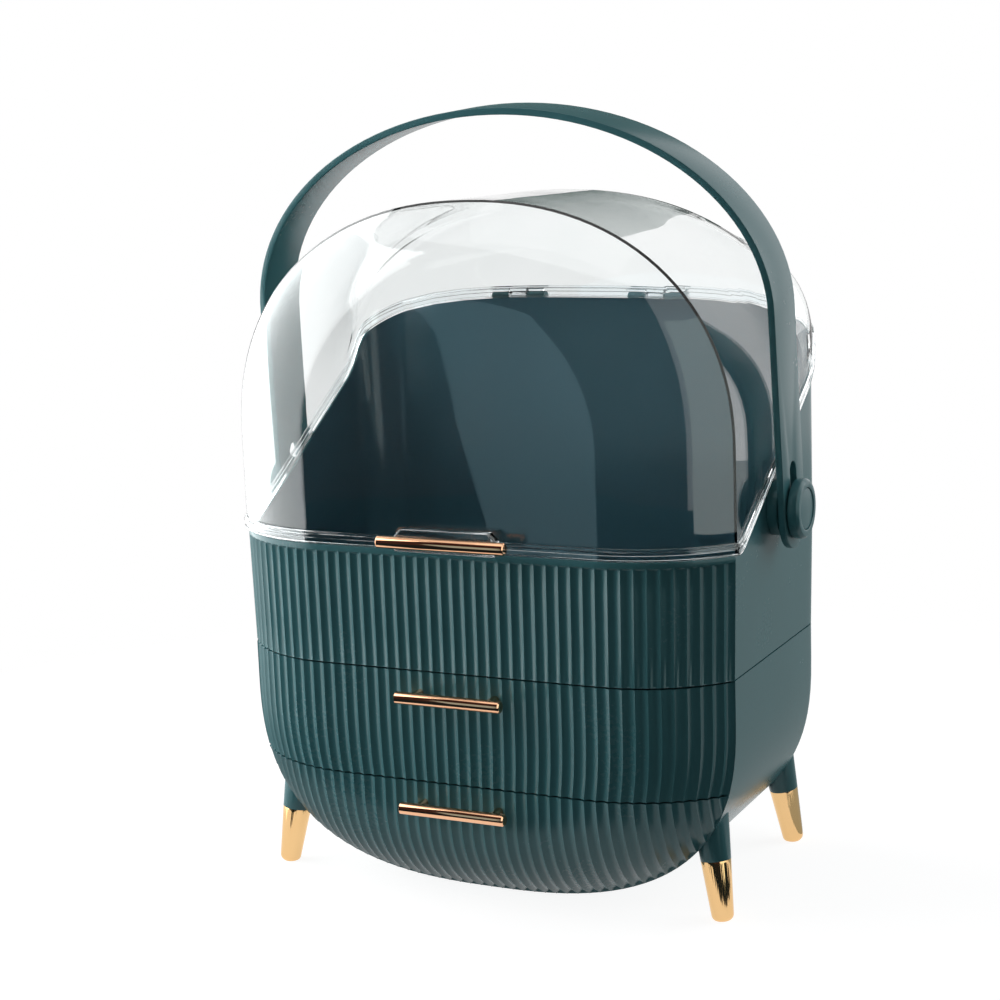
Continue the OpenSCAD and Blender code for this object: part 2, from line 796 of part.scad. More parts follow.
// Heights on the arch of one lid ring over half width w, springing from z0 with the given rise
function arch_row(w, z0, rise) =
    [for (a = [0:lid_arch_step:180])
        [-sign(cos(a)) * w * pow(abs(cos(a)), 2 / lid_power), z0 + rise * pow(sin(a), 2 / lid_power)]];

// Height where the arch springs at depth y: it keeps above the climbing rim
function spring_z(y) = max(lid_spring_z, side_edge(y) + lid_gap + rim_h);

// One ring of the bowed front: the full outline drawn in to the share that station t has
function lid_front_ring(t, inset) =
    let (
        p = front_point(t, lid_half, -inset),
        w = p[0],
        share = w / (lid_half - inset),
        rise = (lid_rise - inset) * share,
        low = edge_z + lid_gap
    )
    [for (q = concat([[-w, low]], arch_row(w, lid_spring_z, rise), [[w, low]])) [q[0], p[1], q[1]]];

// One ring of the vault at depth y, plan half width w
function lid_vault_ring(y, inset) =
    let (
        w = lid_half - inset,
        z0 = spring_z(y),
        arch = arch_row(w, z0, lid_spring_z + lid_rise - inset - z0),
        low = side_edge(y) + lid_gap
    )
    [for (q = concat([[-w, low]], arch, [[w, low]])) [q[0], y, q[1]]];

// Depth of the plan's back at a distance x from the middle
function plan_back(x, inset) =
    let (d = max(0, abs(x) - (lid_half - corner_r)), r = corner_r - inset)
    corner_y + sqrt(max(0, r * r - d * d));

// Height of the rounded back of the lid at x, y: an elliptic fall from the vault to the rim's top
function back_fall(x, y, inset) =
    let (
        back = plan_back(x, inset),
        out = plan_back(x, 0),
        tau = back <= vault_y ? 1 : min(1, (y - vault_y) / (back - vault_y)),
        rim_top = top_edge(x, out) + lid_gap + rim_h,
        z0 = spring_z(y),
        w = lid_half - inset,
        vault = z0 + (lid_spring_z + lid_rise - inset - z0) * arch_share(x / w, lid_power)
    )
    rim_top + (vault - rim_top) * sqrt(max(0, 1 - tau * tau));

// One ring of the lid's back at the corner angle a
function lid_back_ring(a, inset) =
    let (
        r = corner_r - inset,
        w = lid_half - corner_r + r * cos(a),
        y = corner_y + r * sin(a),
        out_y = corner_y + corner_r * sin(a),
        low = top_edge(edge_half - corner_r + corner_r * cos(a), out_y) + lid_gap,
        xs = [for (q = arch_row(w, 0, 1)) q[0]]
    )
    concat([[-w, y, low]], [for (x = xs) [x, y, back_fall(x, y, inset)]], [[w, y, low]]);

// The skirt that closes the lid's back down to the casing's edge
function lid_skirt_ring(inset) =
    let (reach = (edge_half - corner_r) / (lid_half - corner_r))
    [for (p = lid_back_ring(90, inset)) [p[0], p[1], top_edge(p[0] * reach, casing_d) + lid_gap]];

function lid_grid(inset) =
    concat(
        [for (k = [0:lid_bow_steps]) lid_front_ring(lid_ts[lid_bow_steps + 1 + k], inset)],
        [for (y = [for (v = side_ys) if (v < corner_y) v]) lid_vault_ring(y, inset)],
        [for (a = corner_angles) lid_back_ring(a, inset)],
        [lid_skirt_ring(inset)]
    );

module lid_shell() {
    outer = lid_grid(0);
    color(clear) placed()
        grid_wall(outer, lid_grid(lid_wall), each_column(len(outer[0])), cap = true, flip = true);
}

// The plan loop of the lid's stations for half width w at an offset
function lid_loop(w, o) = concat([for (t = lid_ts) front_point(t, w, o)], back_loop(w, o));

// Share of the rim's height where its upper band starts and ends, and of its lower lip
rim_band = [0.5, 0.85];
rim_lip = 0.3;
rim_step = 0.6;

module lid_rim() {
    plan = lid_loop(edge_half, 0);
    function level(o, lift) = to_edge(lid_loop(lid_half, o), plan, lid_gap + lift);
    color(clear) placed()
        grid_wall(
            [
                level(rim_out * rim_step, 0),
                level(rim_out * rim_step, rim_h * rim_lip),
                level(rim_out, rim_h * rim_band[0]),
                level(rim_out, rim_h * rim_band[1]),
                level(rim_out * (1 - rim_step), rim_h)
            ],
            [level(snug, 0), level(snug, rim_h)],
            each_column(len(plan)), wrap = true, flip = true
        );
}

module lid_bar_bracket() {
    y0 = -lid_bar_out + bar_r;
    y1 = -rim_out - snug;
    half = bracket_l / 2;
    corner = bracket_h / 3;
    color(clear) placed()
        translate([0, y1, edge_z + lid_gap]) rotate([90, 0, 0])
            linear_extrude(y1 - y0)
                polygon([
                    [-half, 0], [half, 0], [half, bracket_h - corner], [half - corner, bracket_h],
                    [corner - half, bracket_h], [-half, bracket_h - corner]
                ]);
}

module lid_bar() {
    color(gold) placed() translate([0, -lid_bar_out, lid_bar_z]) gold_bar(lid_bar_l);
}

// ---- lid hinge ----

hinge_z = rear_edge(hinge_x + hinge_l / 2) + lid_gap / 2;
knuckle_l = hinge_l / 3;

module at_hinges() {
    for (side = [-1, 1])
        translate([side * hinge_x, hinge_y, hinge_z]) children();
}

module along_x(dia, length) {
    rotate([0, 90, 0]) cylinder(d = dia, h = length, center = true);
}

// The fixed leaves hang down the back wall below the lid's edge
module casing_hinge_leaves() {
    l = knuckle_l - part_gap;
    barrel_r = barrel_dia / 2;
    wall_y = casing_d - hinge_y;
    color(teal) placed() at_hinges() difference() {
        union() {
            for (side = [-1, 1]) translate([side * knuckle_l, 0, 0]) {
                along_x(barrel_dia, l);
                translate([-l / 2, wall_y, -barrel_r]) cube([l, -wall_y, barrel_r - 1]);
            }
            translate([-hinge_l / 2, wall_y, -leaf_h]) cube([hinge_l, leaf_t, leaf_h - barrel_r - part_gap]);
            for (side = [-1, 1]) translate([side * knuckle_l - l / 2, wall_y, -leaf_h])
                cube([l, leaf_t, leaf_h - 1]);
        }
        along_x(hinge_pin_dia + 2 * pin_clearance, hinge_l + 2);
    }
}

// The moving leaves stand on the rim's back, over the fixed knuckles
module lid_hinge_leaves() {
    l = knuckle_l - part_gap;
    low = barrel_dia / 2 + part_gap;
    high = rim_h * rim_band[1];
    rim_y = casing_d + rim_out + snug - hinge_y;
    color(clear) placed() at_hinges() difference() {
        union() {
            along_x(barrel_dia, l);
            translate([-l / 2, rim_y, 1]) cube([l, -rim_y, high - 1]);
            translate([-hinge_l / 2, rim_y, low]) cube([hinge_l, leaf_t, high - low]);
        }
        along_x(hinge_pin_dia + 2 * pin_clearance, hinge_l + 2);
    }
}

module hinge_pins() {
    color(steel) placed() at_hinges() along_x(hinge_pin_dia, hinge_l + 2);
}

// ---- handle ----

strap_top = arm_h + handle_rise;
handle_w = 2 * (edge_half + strap_clear + strap_t);
boss_t = strap_clear + arm_flare * (arm_h - slot_travel) - washer_t - 2 * snug - strap_play;
stud_r = stud_dia / 2;
slot_r = stud_r + slot_gap;
knob_x = handle_w / 2 + arm_flare * (arm_h + strap_tail) + part_gap;
strap_step = 3;
stud_x = edge_half + 0.8;
boss_floor = 0.5;

// Half outline of the strap seen from the front, inset from its outer face
function strap_curve(inset) =
    let (w = handle_w / 2 - inset, rise = handle_rise - inset, flare = arm_flare * (arm_h + strap_tail + 1))
    concat(
        [[-w - flare, -strap_tail - 1]],
        [for (a = [0:strap_step:180]) [-w * cos(a), arm_h + rise * sin(a)]],
        [[w + flare, -strap_tail - 1]]
    );

module in_handle() {
    translate([0, pivot_y, pivot_z]) rotate([lean, 0, 0]) children();
}

module handle_strap() {
    outer = strap_curve(0);
    inner = strap_curve(strap_t);
    through = 2 * knob_x;
    color(teal) placed() in_handle() difference() {
        intersection() {
            rotate([90, 0, 0])
                linear_extrude(strap_w, center = true)
                    polygon(concat(outer, [for (i = [len(inner) - 1:-1:0]) inner[i]]));
            rotate([90, 0, 90])
                linear_extrude(through, center = true)
                    union() {
                        translate([0, strap_w / 2 - strap_tail]) circle(d = strap_w);
                        translate([-strap_w / 2, strap_w / 2 - strap_tail])
                            square([strap_w, strap_top + strap_tail]);
                    }
        }
        rotate([90, 0, 90])
            linear_extrude(through, center = true)
                union() {
                    circle(r = slot_r);
                    translate([0, slot_travel]) circle(r = slot_r);
                    translate([-slot_r, 0]) square([2 * slot_r, slot_travel]);
                }
    }
}

module on_side(side) {
    translate([0, pivot_y, pivot_z]) rotate([0, side * 90, 0]) children();
}

module side_boss(side) {
    color(teal) placed() on_side(side) difference() {
        translate([0, 0, edge_half]) cylinder(d = boss_dia, h = boss_t);
        translate([0, 0, edge_half + boss_floor]) cylinder(r = stud_r + pin_clearance, h = boss_t);
    }
}

module side_boss_left() {
    side_boss(-1);
}

module side_boss_right() {
    side_boss(1);
}

module pivot_stud(side) {
    color(dark_teal) placed() on_side(side)
        translate([0, 0, stud_x]) cylinder(d = stud_dia, h = knob_x + knob_t / 2 - stud_x);
}

module pivot_stud_left() {
    pivot_stud(-1);
}

module pivot_stud_right() {
    pivot_stud(1);
}

module pivot_washer(side) {
    color(dark_teal) placed() on_side(side) difference() {
        translate([0, 0, edge_half + boss_t + 2 * snug]) cylinder(d = washer_dia, h = washer_t);
        translate([0, 0, edge_half + boss_t]) cylinder(r = stud_r + pin_clearance, h = washer_t + 1);
    }
}

module pivot_washer_left() {
    pivot_washer(-1);
}

module pivot_washer_right() {
    pivot_washer(1);
}

module knob(side) {
    r = knob_dia / 2;
    knob_back_chamfer = 0.6;
    cap_r = knob_cap_dia / 2;
    color(teal) placed() on_side(side) translate([0, 0, knob_x]) difference() {
        rotate_extrude()
            polygon([
                [0, 0], [r - knob_back_chamfer, 0], [r, knob_back_chamfer], [r, knob_t - knob_chamfer],
                [r - knob_chamfer, knob_t], [0, knob_t]
            ]);
        translate([0, 0, knob_t - knob_recess]) cylinder(r = cap_r + 4 * snug, h = knob_recess + 1);
        translate([0, 0, -1]) cylinder(r = stud_r + snug, h = 1 + knob_t / 2 + snug);
    }
}

module knob_left() {
    knob(-1);
}

module knob_right() {
    knob(1);
}

module knob_cap(side) {
    r = knob_cap_dia / 2;
    bevel = 0.4;
    color(teal) placed() on_side(side) translate([0, 0, knob_x + knob_t - knob_recess])
        rotate_extrude()
            polygon([[0, 0], [r, 0], [r, knob_cap_t - bevel], [r - bevel, knob_cap_t], [0, knob_cap_t]]);
}

module knob_cap_left() {
    knob_cap(-1);
}

module knob_cap_right() {
    knob_cap(1);
}

// ---- legs ----

// Places a leg's own frame at its foot: side is -1 or 1, rake leans it to the middle of the depth
module at_foot(side, x, y, rake) {
    translate([side * x, y, 0])
        rotate([-atan(rake), -side * atan(leg_splay), 0])
            children();
}

function leg_r(h) = foot_dia / 2 + (leg_dia - foot_dia) / 2 * h / foot_h;

module leg(side, x, y, rake) {
    color(teal) placed() difference() {
        at_foot(side, x, y, rake)
            translate([0, 0, foot_h])
                cylinder(r1 = leg_r(foot_h), r2 = leg_r(leg_top_z), h = leg_top_z - foot_h);
        housing_form(snug);
    }
}

module foot(side, x, y, rake) {
    sunk_by = 2;
    tip_sink = 0.9;
    cut = 3 * foot_dia;
    r0 = leg_r(0);
    color(gold) placed() difference() {
        at_foot(side, x, y, rake)
            rotate_extrude()
                polygon(concat(
                    [[0, -sunk_by]],
                    [for (a = [-90:15:0])
                        [r0 - foot_round + foot_round * cos(a), foot_round - tip_sink + foot_round * sin(a)]],
                    [[leg_r(foot_h), foot_h], [0, foot_h]]
                ));
        translate([side * x - cut / 2, y - cut / 2, -cut]) cube([cut, cut, cut]);
    }
}

module leg_front_left() {
    leg(-1, front_foot_x, front_foot_y, leg_rake);
}

module leg_front_right() {
    leg(1, front_foot_x, front_foot_y, leg_rake);
}

module leg_rear_left() {
    leg(-1, rear_foot_x, rear_foot_y, -leg_rake);
}

module leg_rear_right() {
    leg(1, rear_foot_x, rear_foot_y, -leg_rake);
}

module foot_front_left() {
    foot(-1, front_foot_x, front_foot_y, leg_rake);
}

module foot_front_right() {
    foot(1, front_foot_x, front_foot_y, leg_rake);
}

module foot_rear_left() {
    foot(-1, rear_foot_x, rear_foot_y, -leg_rake);
}

module foot_rear_right() {
    foot(1, rear_foot_x, rear_foot_y, -leg_rake);
}

upper_shell();
lower_housing();
drawer_shelf();
side_boss_left();
side_boss_right();
leg_front_left();
leg_front_right();
leg_rear_left();
leg_rear_right();
foot_front_left();
foot_front_right();
foot_rear_left();
foot_rear_right();
casing_hinge_leaves();
hinge_pins();
upper_drawer_front();
upper_drawer_tray();
upper_drawer_bar();
upper_bar_screws();
lower_drawer_front();
lower_drawer_tray();
lower_drawer_bar();
lower_bar_screws();
lid_shell();
lid_rim();
lid_bar_bracket();
lid_bar();
lid_hinge_leaves();
handle_strap();
pivot_stud_left();
pivot_stud_right();
pivot_washer_left();
pivot_washer_right();
knob_left();
knob_right();
knob_cap_left();
knob_cap_right();
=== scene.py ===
# %% [markdown]
# # A dustproof makeup organizer
# The real thing is a moulded teal casing on four gold-tipped legs, with two fluted drawers, a clear domed lid
# and a tall handle. The CAD frame already has every piece in its place, so this lesson gives each piece its
# finished surface. Sizes are in millimetres, and one function turns them into Blender's metres.

# %% Load the frame
import math
from contextlib import contextmanager
import bpy
import bmesh
from mathutils import Matrix, Vector


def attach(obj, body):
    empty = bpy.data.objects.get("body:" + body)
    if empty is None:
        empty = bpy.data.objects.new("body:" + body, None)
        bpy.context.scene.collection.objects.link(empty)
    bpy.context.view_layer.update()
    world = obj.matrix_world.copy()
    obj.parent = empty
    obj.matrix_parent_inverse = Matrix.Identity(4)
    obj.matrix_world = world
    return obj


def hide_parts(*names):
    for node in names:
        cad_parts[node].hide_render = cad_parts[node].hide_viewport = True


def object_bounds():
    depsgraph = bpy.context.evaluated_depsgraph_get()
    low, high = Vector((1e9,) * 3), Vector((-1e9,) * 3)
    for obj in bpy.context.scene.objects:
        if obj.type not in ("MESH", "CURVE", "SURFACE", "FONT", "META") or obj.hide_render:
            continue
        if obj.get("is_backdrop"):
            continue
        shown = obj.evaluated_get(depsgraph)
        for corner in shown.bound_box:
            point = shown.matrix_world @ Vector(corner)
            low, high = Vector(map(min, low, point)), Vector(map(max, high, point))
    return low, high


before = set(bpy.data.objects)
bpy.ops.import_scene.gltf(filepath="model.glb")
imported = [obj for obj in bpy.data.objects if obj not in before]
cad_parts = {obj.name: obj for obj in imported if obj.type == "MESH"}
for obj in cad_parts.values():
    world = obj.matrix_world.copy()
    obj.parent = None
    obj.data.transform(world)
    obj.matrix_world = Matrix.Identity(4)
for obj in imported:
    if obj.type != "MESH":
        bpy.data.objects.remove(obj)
cad_box = [list(corner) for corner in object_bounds()]

# %% [markdown]
# ## The camera
# The photograph was taken from the right, a little above the lid. The camera was worked out from the seams,
# the flutes and the feet, so it is written here as a place, a heading, a tilt and a small roll. The focal
# length in pixels of a 1000 pixel frame becomes a lens on a 36 mm sensor.

# %% Camera
MM = 0.001
mid_y = 93.25
frame_px, sensor_mm = 1000, 36
photo_place = (518.2, -993.5, 438.7)
photo_heading, photo_tilt, photo_roll, photo_focal_px = 26.118, 10.338, -2.073, 2100


def metres(x, y, z):
    """A point of the design frame, whose front crests lie at y = 0, in the row frame."""
    return (x * MM, (y - mid_y) * MM, z * MM)


def add_object(name, data):
    obj = bpy.data.objects.new(name, data)
    bpy.context.scene.collection.objects.link(obj)
    return obj


def camera_at(place, heading, tilt, roll, focal_px):
    a, e, r = map(math.radians, (heading, tilt, roll))
    back = Vector((math.sin(a) * math.cos(e), -math.cos(a) * math.cos(e), math.sin(e)))
    right = Vector((math.cos(a), math.sin(a), 0))
    up = back.cross(right)
    turned_right = math.cos(r) * right + math.sin(r) * up
    turned_up = -math.sin(r) * right + math.cos(r) * up
    turn = Matrix((turned_right, turned_up, back)).transposed().to_4x4()
    data = bpy.data.cameras.new("photo_camera")
    data.sensor_width = sensor_mm
    data.lens = focal_px / frame_px * sensor_mm
    data.clip_start, data.clip_end = 0.05, 50
    cam = add_object("photo_camera", data)
    cam.matrix_world = Matrix.Translation(metres(*place)) @ turn
    bpy.context.scene.camera = cam
    return cam


camera = camera_at(photo_place, photo_heading, photo_tilt, photo_roll, photo_focal_px)
print("camera lens", round(camera.data.lens, 1), "mm")

# %% [markdown]
# ## Shader maths
# A procedural material is a small formula. Wrapping a socket in a class with + - * and ** lets the formula
# be written as Python, and one method adds every other node from its type, its settings and its inputs.


# %% Expressions on sockets
class Value:
    """One socket of a node tree."""

    def __init__(self, maker, socket):
        self.maker, self.socket = maker, socket

    def maths(self, kind, a, b):
        return self.maker.node("ShaderNodeMath", {"operation": kind}, [a, b])

    def __add__(self, other):
        return self.maths("ADD", self, other)

    def __sub__(self, other):
        return self.maths("SUBTRACT", self, other)

    def __rsub__(self, other):
        return self.maths("SUBTRACT", other, self)

    def __mul__(self, other):
        return self.maths("MULTIPLY", self, other)

    def __pow__(self, other):
        return self.maths("POWER", self, other)

    __radd__ = __add__


class Maker:
    """Adds nodes to one tree."""

    def __init__(self, tree):
        self.tree = tree

    def put(self, socket, value):
        if isinstance(value, Value):
            self.tree.links.new(value.socket, socket)
        else:
            socket.default_value = value

    def node(self, kind, settings=None, inputs=(), out=0):
        made = self.tree.nodes.new(kind)
        for key, value in (settings or {}).items():
            setattr(made, key, value)
        for key, value in inputs.items() if isinstance(inputs, dict) else enumerate(inputs):
            self.put(made.inputs[key], value)
        return Value(self, made.outputs[out])

    def mix_colour(self, factor, a, b):
        return self.node("ShaderNodeMix", {"data_type": "RGBA"}, {0: factor, 6: a, 7: b}, out=2)


def new_material(name, build, **constants):
    """A Principled material. build(maker, place) returns the sockets that vary over the surface."""
    material = bpy.data.materials.new(name)
    material.use_nodes = True
    tree = material.node_tree
    tree.nodes.clear()
    maker = Maker(tree)
    place = maker.node("ShaderNodeTexCoord", out="Object")
    inputs = {key.replace("_", " "): value for key, value in constants.items()}
    inputs.update(build(maker, place))
    surface = maker.node("ShaderNodeBsdfPrincipled", inputs=inputs)
    end = tree.nodes.new("ShaderNodeOutputMaterial")
    tree.links.new(surface.socket, end.inputs["Surface"])
    return material


def noise(maker, place, scale, detail=2.0, rough=0.5):
    inputs = {"Vector": place, "Scale": scale, "Detail": detail, "Roughness": rough}
    return maker.node("ShaderNodeTexNoise", {"noise_dimensions": "3D"}, inputs)


def bump(maker, height, strength, distance):
    return maker.node("ShaderNodeBump", inputs={"Height": height, "Strength": strength, "Distance": distance})


# %% [markdown]
# ## The finishes
# The casing is satin plastic: a fine mould grain, a shine that varies slowly, and a colour that is a little
# uneven. The compartment's inside is smoother, and its colour is the same teal painted darker and bluer as
# painted shade.
# The lid is clear acrylic with real thickness, so its edges bend light by themselves. The bars and the feet
# are polished gold.

# %% Teal plastic, dark plastic
def satin_plastic(low, high, shine, grain_strength):
    def build(maker, place):
        cloud = noise(maker, place, 18.0, 3.0)
        speckle = noise(maker, place, 420.0, 2.0)
        grain = noise(maker, place, 3200.0, 1.0)
        return {
            "Base Color": maker.mix_colour(cloud * 0.7 + speckle * 0.3, low, high),
            "Roughness": shine + cloud * 0.08 + speckle * 0.04,
            "Normal": bump(maker, grain, grain_strength, 0.00006),
        }
    return build


teal = new_material(
    "teal_plastic", satin_plastic((0.060, 0.205, 0.226, 1), (0.074, 0.238, 0.262, 1), 0.20, 0.05),
    IOR=1.46, Specular_IOR_Level=0.42,
)
# The inside is the casing's own teal plastic. Its darker, bluer colour is painted shade of the compartment.
inside_teal_painted_shade = new_material(
    "inside_teal_painted_shade", satin_plastic((0.034, 0.086, 0.110, 1), (0.042, 0.100, 0.128, 1), 0.10, 0.02), IOR=1.46,
)
dark_plastic = new_material(
    "dark_plastic", satin_plastic((0.016, 0.060, 0.066, 1), (0.024, 0.080, 0.088, 1), 0.40, 0.15), IOR=1.46,
)


# %% Clear plastic
def clear_surface(wave_strength, tint):
    def build(maker, place):
        haze = noise(maker, place, 25.0, 2.0)
        wave = noise(maker, place, 22.0, 1.0)
        return {
            "Roughness": haze * 0.02,
            "Base Color": maker.mix_colour(haze, tint, (0.99, 1.0, 1.0, 1)),
            "Normal": bump(maker, wave, wave_strength, 0.004),
        }
    return build


clear = new_material(
    "clear_plastic", clear_surface(0.015, (0.93, 0.952, 0.95, 1)), Transmission_Weight=1.0, IOR=1.46,
)
clear_rim = new_material(
    "clear_rim", clear_surface(0.06, (0.95, 0.98, 1.0, 1)), Transmission_Weight=1.0, IOR=1.52,
)


# %% Gold and steel
def polished_metal(low, high, shine, lines):
    def build(maker, place):
        drift = noise(maker, place, 30.0, 2.0)
        stretched = maker.node("ShaderNodeMapping", inputs={"Vector": place, "Scale": lines})
        brushed = noise(maker, stretched, 900.0, 3.0, 0.6)
        return {
            "Base Color": maker.mix_colour(drift, low, high),
            "Roughness": shine + brushed * 0.06 + drift * 0.03,
            "Normal": bump(maker, brushed, 0.03, 0.0001),
        }
    return build


lines_across, lines_upright = (0.05, 1.0, 1.0), (1.0, 1.0, 0.05)
gold_look = polished_metal((0.82, 0.43, 0.25, 1), (0.88, 0.50, 0.30, 1), 0.03, lines_across)
foot_look = polished_metal((0.80, 0.50, 0.22, 1), (0.87, 0.57, 0.28, 1), 0.07, lines_upright)
steel_look = polished_metal((0.50, 0.50, 0.52, 1), (0.60, 0.60, 0.62, 1), 0.28, lines_across)
gold = new_material("rose_gold", gold_look, Metallic=1.0)
foot_gold = new_material("foot_gold", foot_look, Metallic=1.0)
steel = new_material("plain_steel", steel_look, Metallic=1.0)
finishes = (teal, inside_teal_painted_shade, dark_plastic, clear, clear_rim, gold, foot_gold, steel)
print("materials:", [finish.name for finish in finishes])

# %% [markdown]
# ## The rules of the outline
# The casing's plan is flat in the middle of the front, bows back to two creases, and runs on with smooth
# sides and round rear corners. Below, the sides round in to a belly that is a superellipse. These are the
# rules that the CAD follows too, so a finer surface made from them fits the same space.

# %% Sizes in millimetres
half_w, edge_half, lid_half, flat_half = 150.0, 151.5, 152.5, 84.5
casing_d, bow_depth, corner_r, casing_wall = 192.0, 34.5, 28.0, 2.6
belly_z, round_z, belly_power = 2.5, 117.5, 2.65
high_seam_z, low_seam_z, seam_gap, part_gap = 137.5, 73.5, 1.0, 0.3
edge_z, climb_y, climb_slope, climb_soft = 206.3, 40.0, 0.62, 5
corner_slope, corner_soft = 1.1, 6
arch_base_z, arch_rise, arch_power = 287.5, 40.5, 3.0
flute_count, flute_depth, flute_top_z, flute_fade, flute_run = 46, 1.5, 203.0, 1.4, 14
hollow_power, front_wall, lining_share = 1.6, 2.5, 1.12
lid_wall, lid_spring_z, lid_rise, lid_power, vault_y = 2.4, 262.5, 132.5, 2.2, 146.0
lid_gap, rim_h, lid_bow_steps, arc_step, smooth_angle = 0.4, 7.0, 14, 3, 35
belly_rise = round_z - belly_z
corner_y = casing_d - corner_r


# %% Outline rules
def arch_share(t, power):
    return max(0.0, 1 - min(1.0, abs(t)) ** power) ** (1 / power)


def bow_r(w):
    return ((w - flat_half) ** 2 + bow_depth**2) / (2 * bow_depth)


def bow_angle(w, o):
    return math.asin((w + o - flat_half) / (bow_r(w) + o))


def bow_y(x, w):
    d, r = max(0.0, min(x, w) - flat_half), bow_r(w)
    return r - math.sqrt(r * r - d * d)


def casing_half(z):
    if z < round_z:
        return half_w * arch_share((round_z - z) / belly_rise, belly_power)
    return half_w + (edge_half - half_w) * max(0.0, min(1.0, (z - high_seam_z) / (edge_z - high_seam_z)))


def belly_edge(x):
    return round_z - belly_rise * arch_share(x / half_w, belly_power)


def outline_share(x, z):
    if z >= round_z:
        return abs(x) / half_w
    across, down = abs(x) / half_w, (round_z - z) / belly_rise
    return (across**belly_power + down**belly_power) ** (1 / belly_power)


def soft_ramp(t, w):
    return 0.0 if t < -w else t if t > w else (t + w) ** 2 / (4 * w)


def side_edge(y):
    climb = climb_slope * soft_ramp(y - climb_y, climb_soft)
    return edge_z + climb + corner_slope * soft_ramp(y - corner_y, corner_soft)


def top_edge(x, y):
    return min(side_edge(y), arch_base_z + arch_rise * arch_share(x / lid_half, arch_power))


def flat_share(w):
    return flat_half / (flat_half + bow_r(w) * bow_angle(w, 0))


def front_point(t, w, o):
    """Plan point and outward direction of the bowed front at a share t of its length."""
    share, side = flat_share(w), -1 if t < 0 else 1
    if abs(t) <= share:
        return (t / share * flat_half, -o), (0.0, -1.0)
    a = (abs(t) - share) / (1 - share) * bow_angle(w, o)
    place = (side * (flat_half + (bow_r(w) + o) * math.sin(a)), bow_r(w) - (bow_r(w) + o) * math.cos(a))
    return place, (side * math.sin(a), -math.cos(a))


def back_loop(w, o, side_ys, corner_step, rear_steps):
    """Plan points of the sides and the back, from the right crease round to the left one."""
    half = [(w + o, y) for y in side_ys]
    for k in range(0, 90 + corner_step, corner_step):
        a = math.radians(k)
        half.append((w - corner_r + (corner_r + o) * math.cos(a), corner_y + (corner_r + o) * math.sin(a)))
    rear = [((w - corner_r) * (1 - 2 * k / rear_steps), casing_d + o) for k in range(1, rear_steps)]
    return half + rear + [(-x, y) for x, y in reversed(half)]


side_ys = [35.5, 37, 38.5, 40, 41, 42, 43, 44, 45.5, 47, 50, 55, 65, 80, 95, 110, 125, 138, vault_y, 152, 158]
print("bow radius", round(bow_r(half_w), 1), "mm")
print("belly half width at the lower seam", round(casing_half(low_seam_z), 1), "mm")

# %% [markdown]
# ## Meshes from grids of points
# A moulded wall is two surfaces, an outer and an inner one, joined along their edges. Both are grids of
# points here, so one helper joins them. The flutes are not in these grids: each point only carries where it
# lies across a flute and how deep the flute may be there, and Geometry Nodes hollow them out later.


# %% Grid helpers
@contextmanager
def edited(mesh):
    bm = bmesh.new()
    bm.from_mesh(mesh)
    yield bm
    bm.to_mesh(mesh)
    bm.free()


def smooth(mesh, angle=smooth_angle):
    mesh.shade_smooth()
    mesh.set_sharp_from_angle(angle=math.radians(angle))


def wall_object(name, rings, faces, finish, angle):
    mesh = bpy.data.meshes.new(name)
    mesh.from_pydata([metres(*p) for ring in rings for p in ring], [], faces)
    with edited(mesh) as bm:
        bmesh.ops.remove_doubles(bm, verts=bm.verts, dist=1e-6)
        bmesh.ops.recalc_face_normals(bm, faces=bm.faces)
    smooth(mesh, angle)
    mesh.materials.append(finish)
    print(name, len(mesh.polygons), "faces")
    return add_object(name, mesh)


def quads(rows, cols, base, closed):
    last = cols if closed else cols - 1
    faces = []
    for r in range(rows - 1):
        low, high = base + r * cols, base + (r + 1) * cols
        faces += [(low + c, low + (c + 1) % cols, high + (c + 1) % cols, high + c) for c in range(last)]
    return faces


def wall_faces(rows_out, rows_in, cols, closed, join_first=True):
    """Faces of a wall: the outer grid, the inner grid, and the strips that join their first and last rows."""
    base = rows_out * cols
    faces = quads(rows_out, cols, 0, closed) + quads(rows_in, cols, base, closed)
    last = cols if closed else cols - 1
    ends = [((rows_out - 1) * cols, base + (rows_in - 1) * cols)] + ([(0, base)] if join_first else [])
    for o, i in ends:
        faces += [(o + c, o + (c + 1) % cols, i + (c + 1) % cols, i + c) for c in range(last)]
    return faces


def flat_ends(rows_out, rows_in, cols):
    """One flat face at each end of the rows of an open wall."""
    base = rows_out * cols
    ends = []
    for c in (0, cols - 1):
        left = [r * cols + c for r in range(rows_out)]
        right = [base + r * cols + c for r in range(rows_in)]
        ends.append(tuple(left + right[::-1]))
    return ends


def ringed_wall(rows, cols):
    """Faces of a wall of open rings: the strips along its feet, and flat faces over the first rings."""
    base = rows * cols
    faces = wall_faces(rows, rows, cols, closed=False, join_first=False)
    for foot in (0, cols - 1):
        left = [r * cols + foot for r in range(rows)]
        faces += [(left[k], left[k + 1], left[k + 1] + base, left[k] + base) for k in range(rows - 1)]
    return faces + [tuple(range(cols)), tuple(range(base, base + cols)), (0, base, base + cols - 1, cols - 1)]


# %% [markdown]
# ## Hollowing the flutes
# The front is a row of shallow hollow flutes with a sharp crest between each two. A flute is a rule: at a
# share d of the way from its middle to a crest its depth is 1 - d to a power. So a Geometry Nodes tree moves
# every point in along its stored direction, and the flute's sizes are named inputs of the modifier.


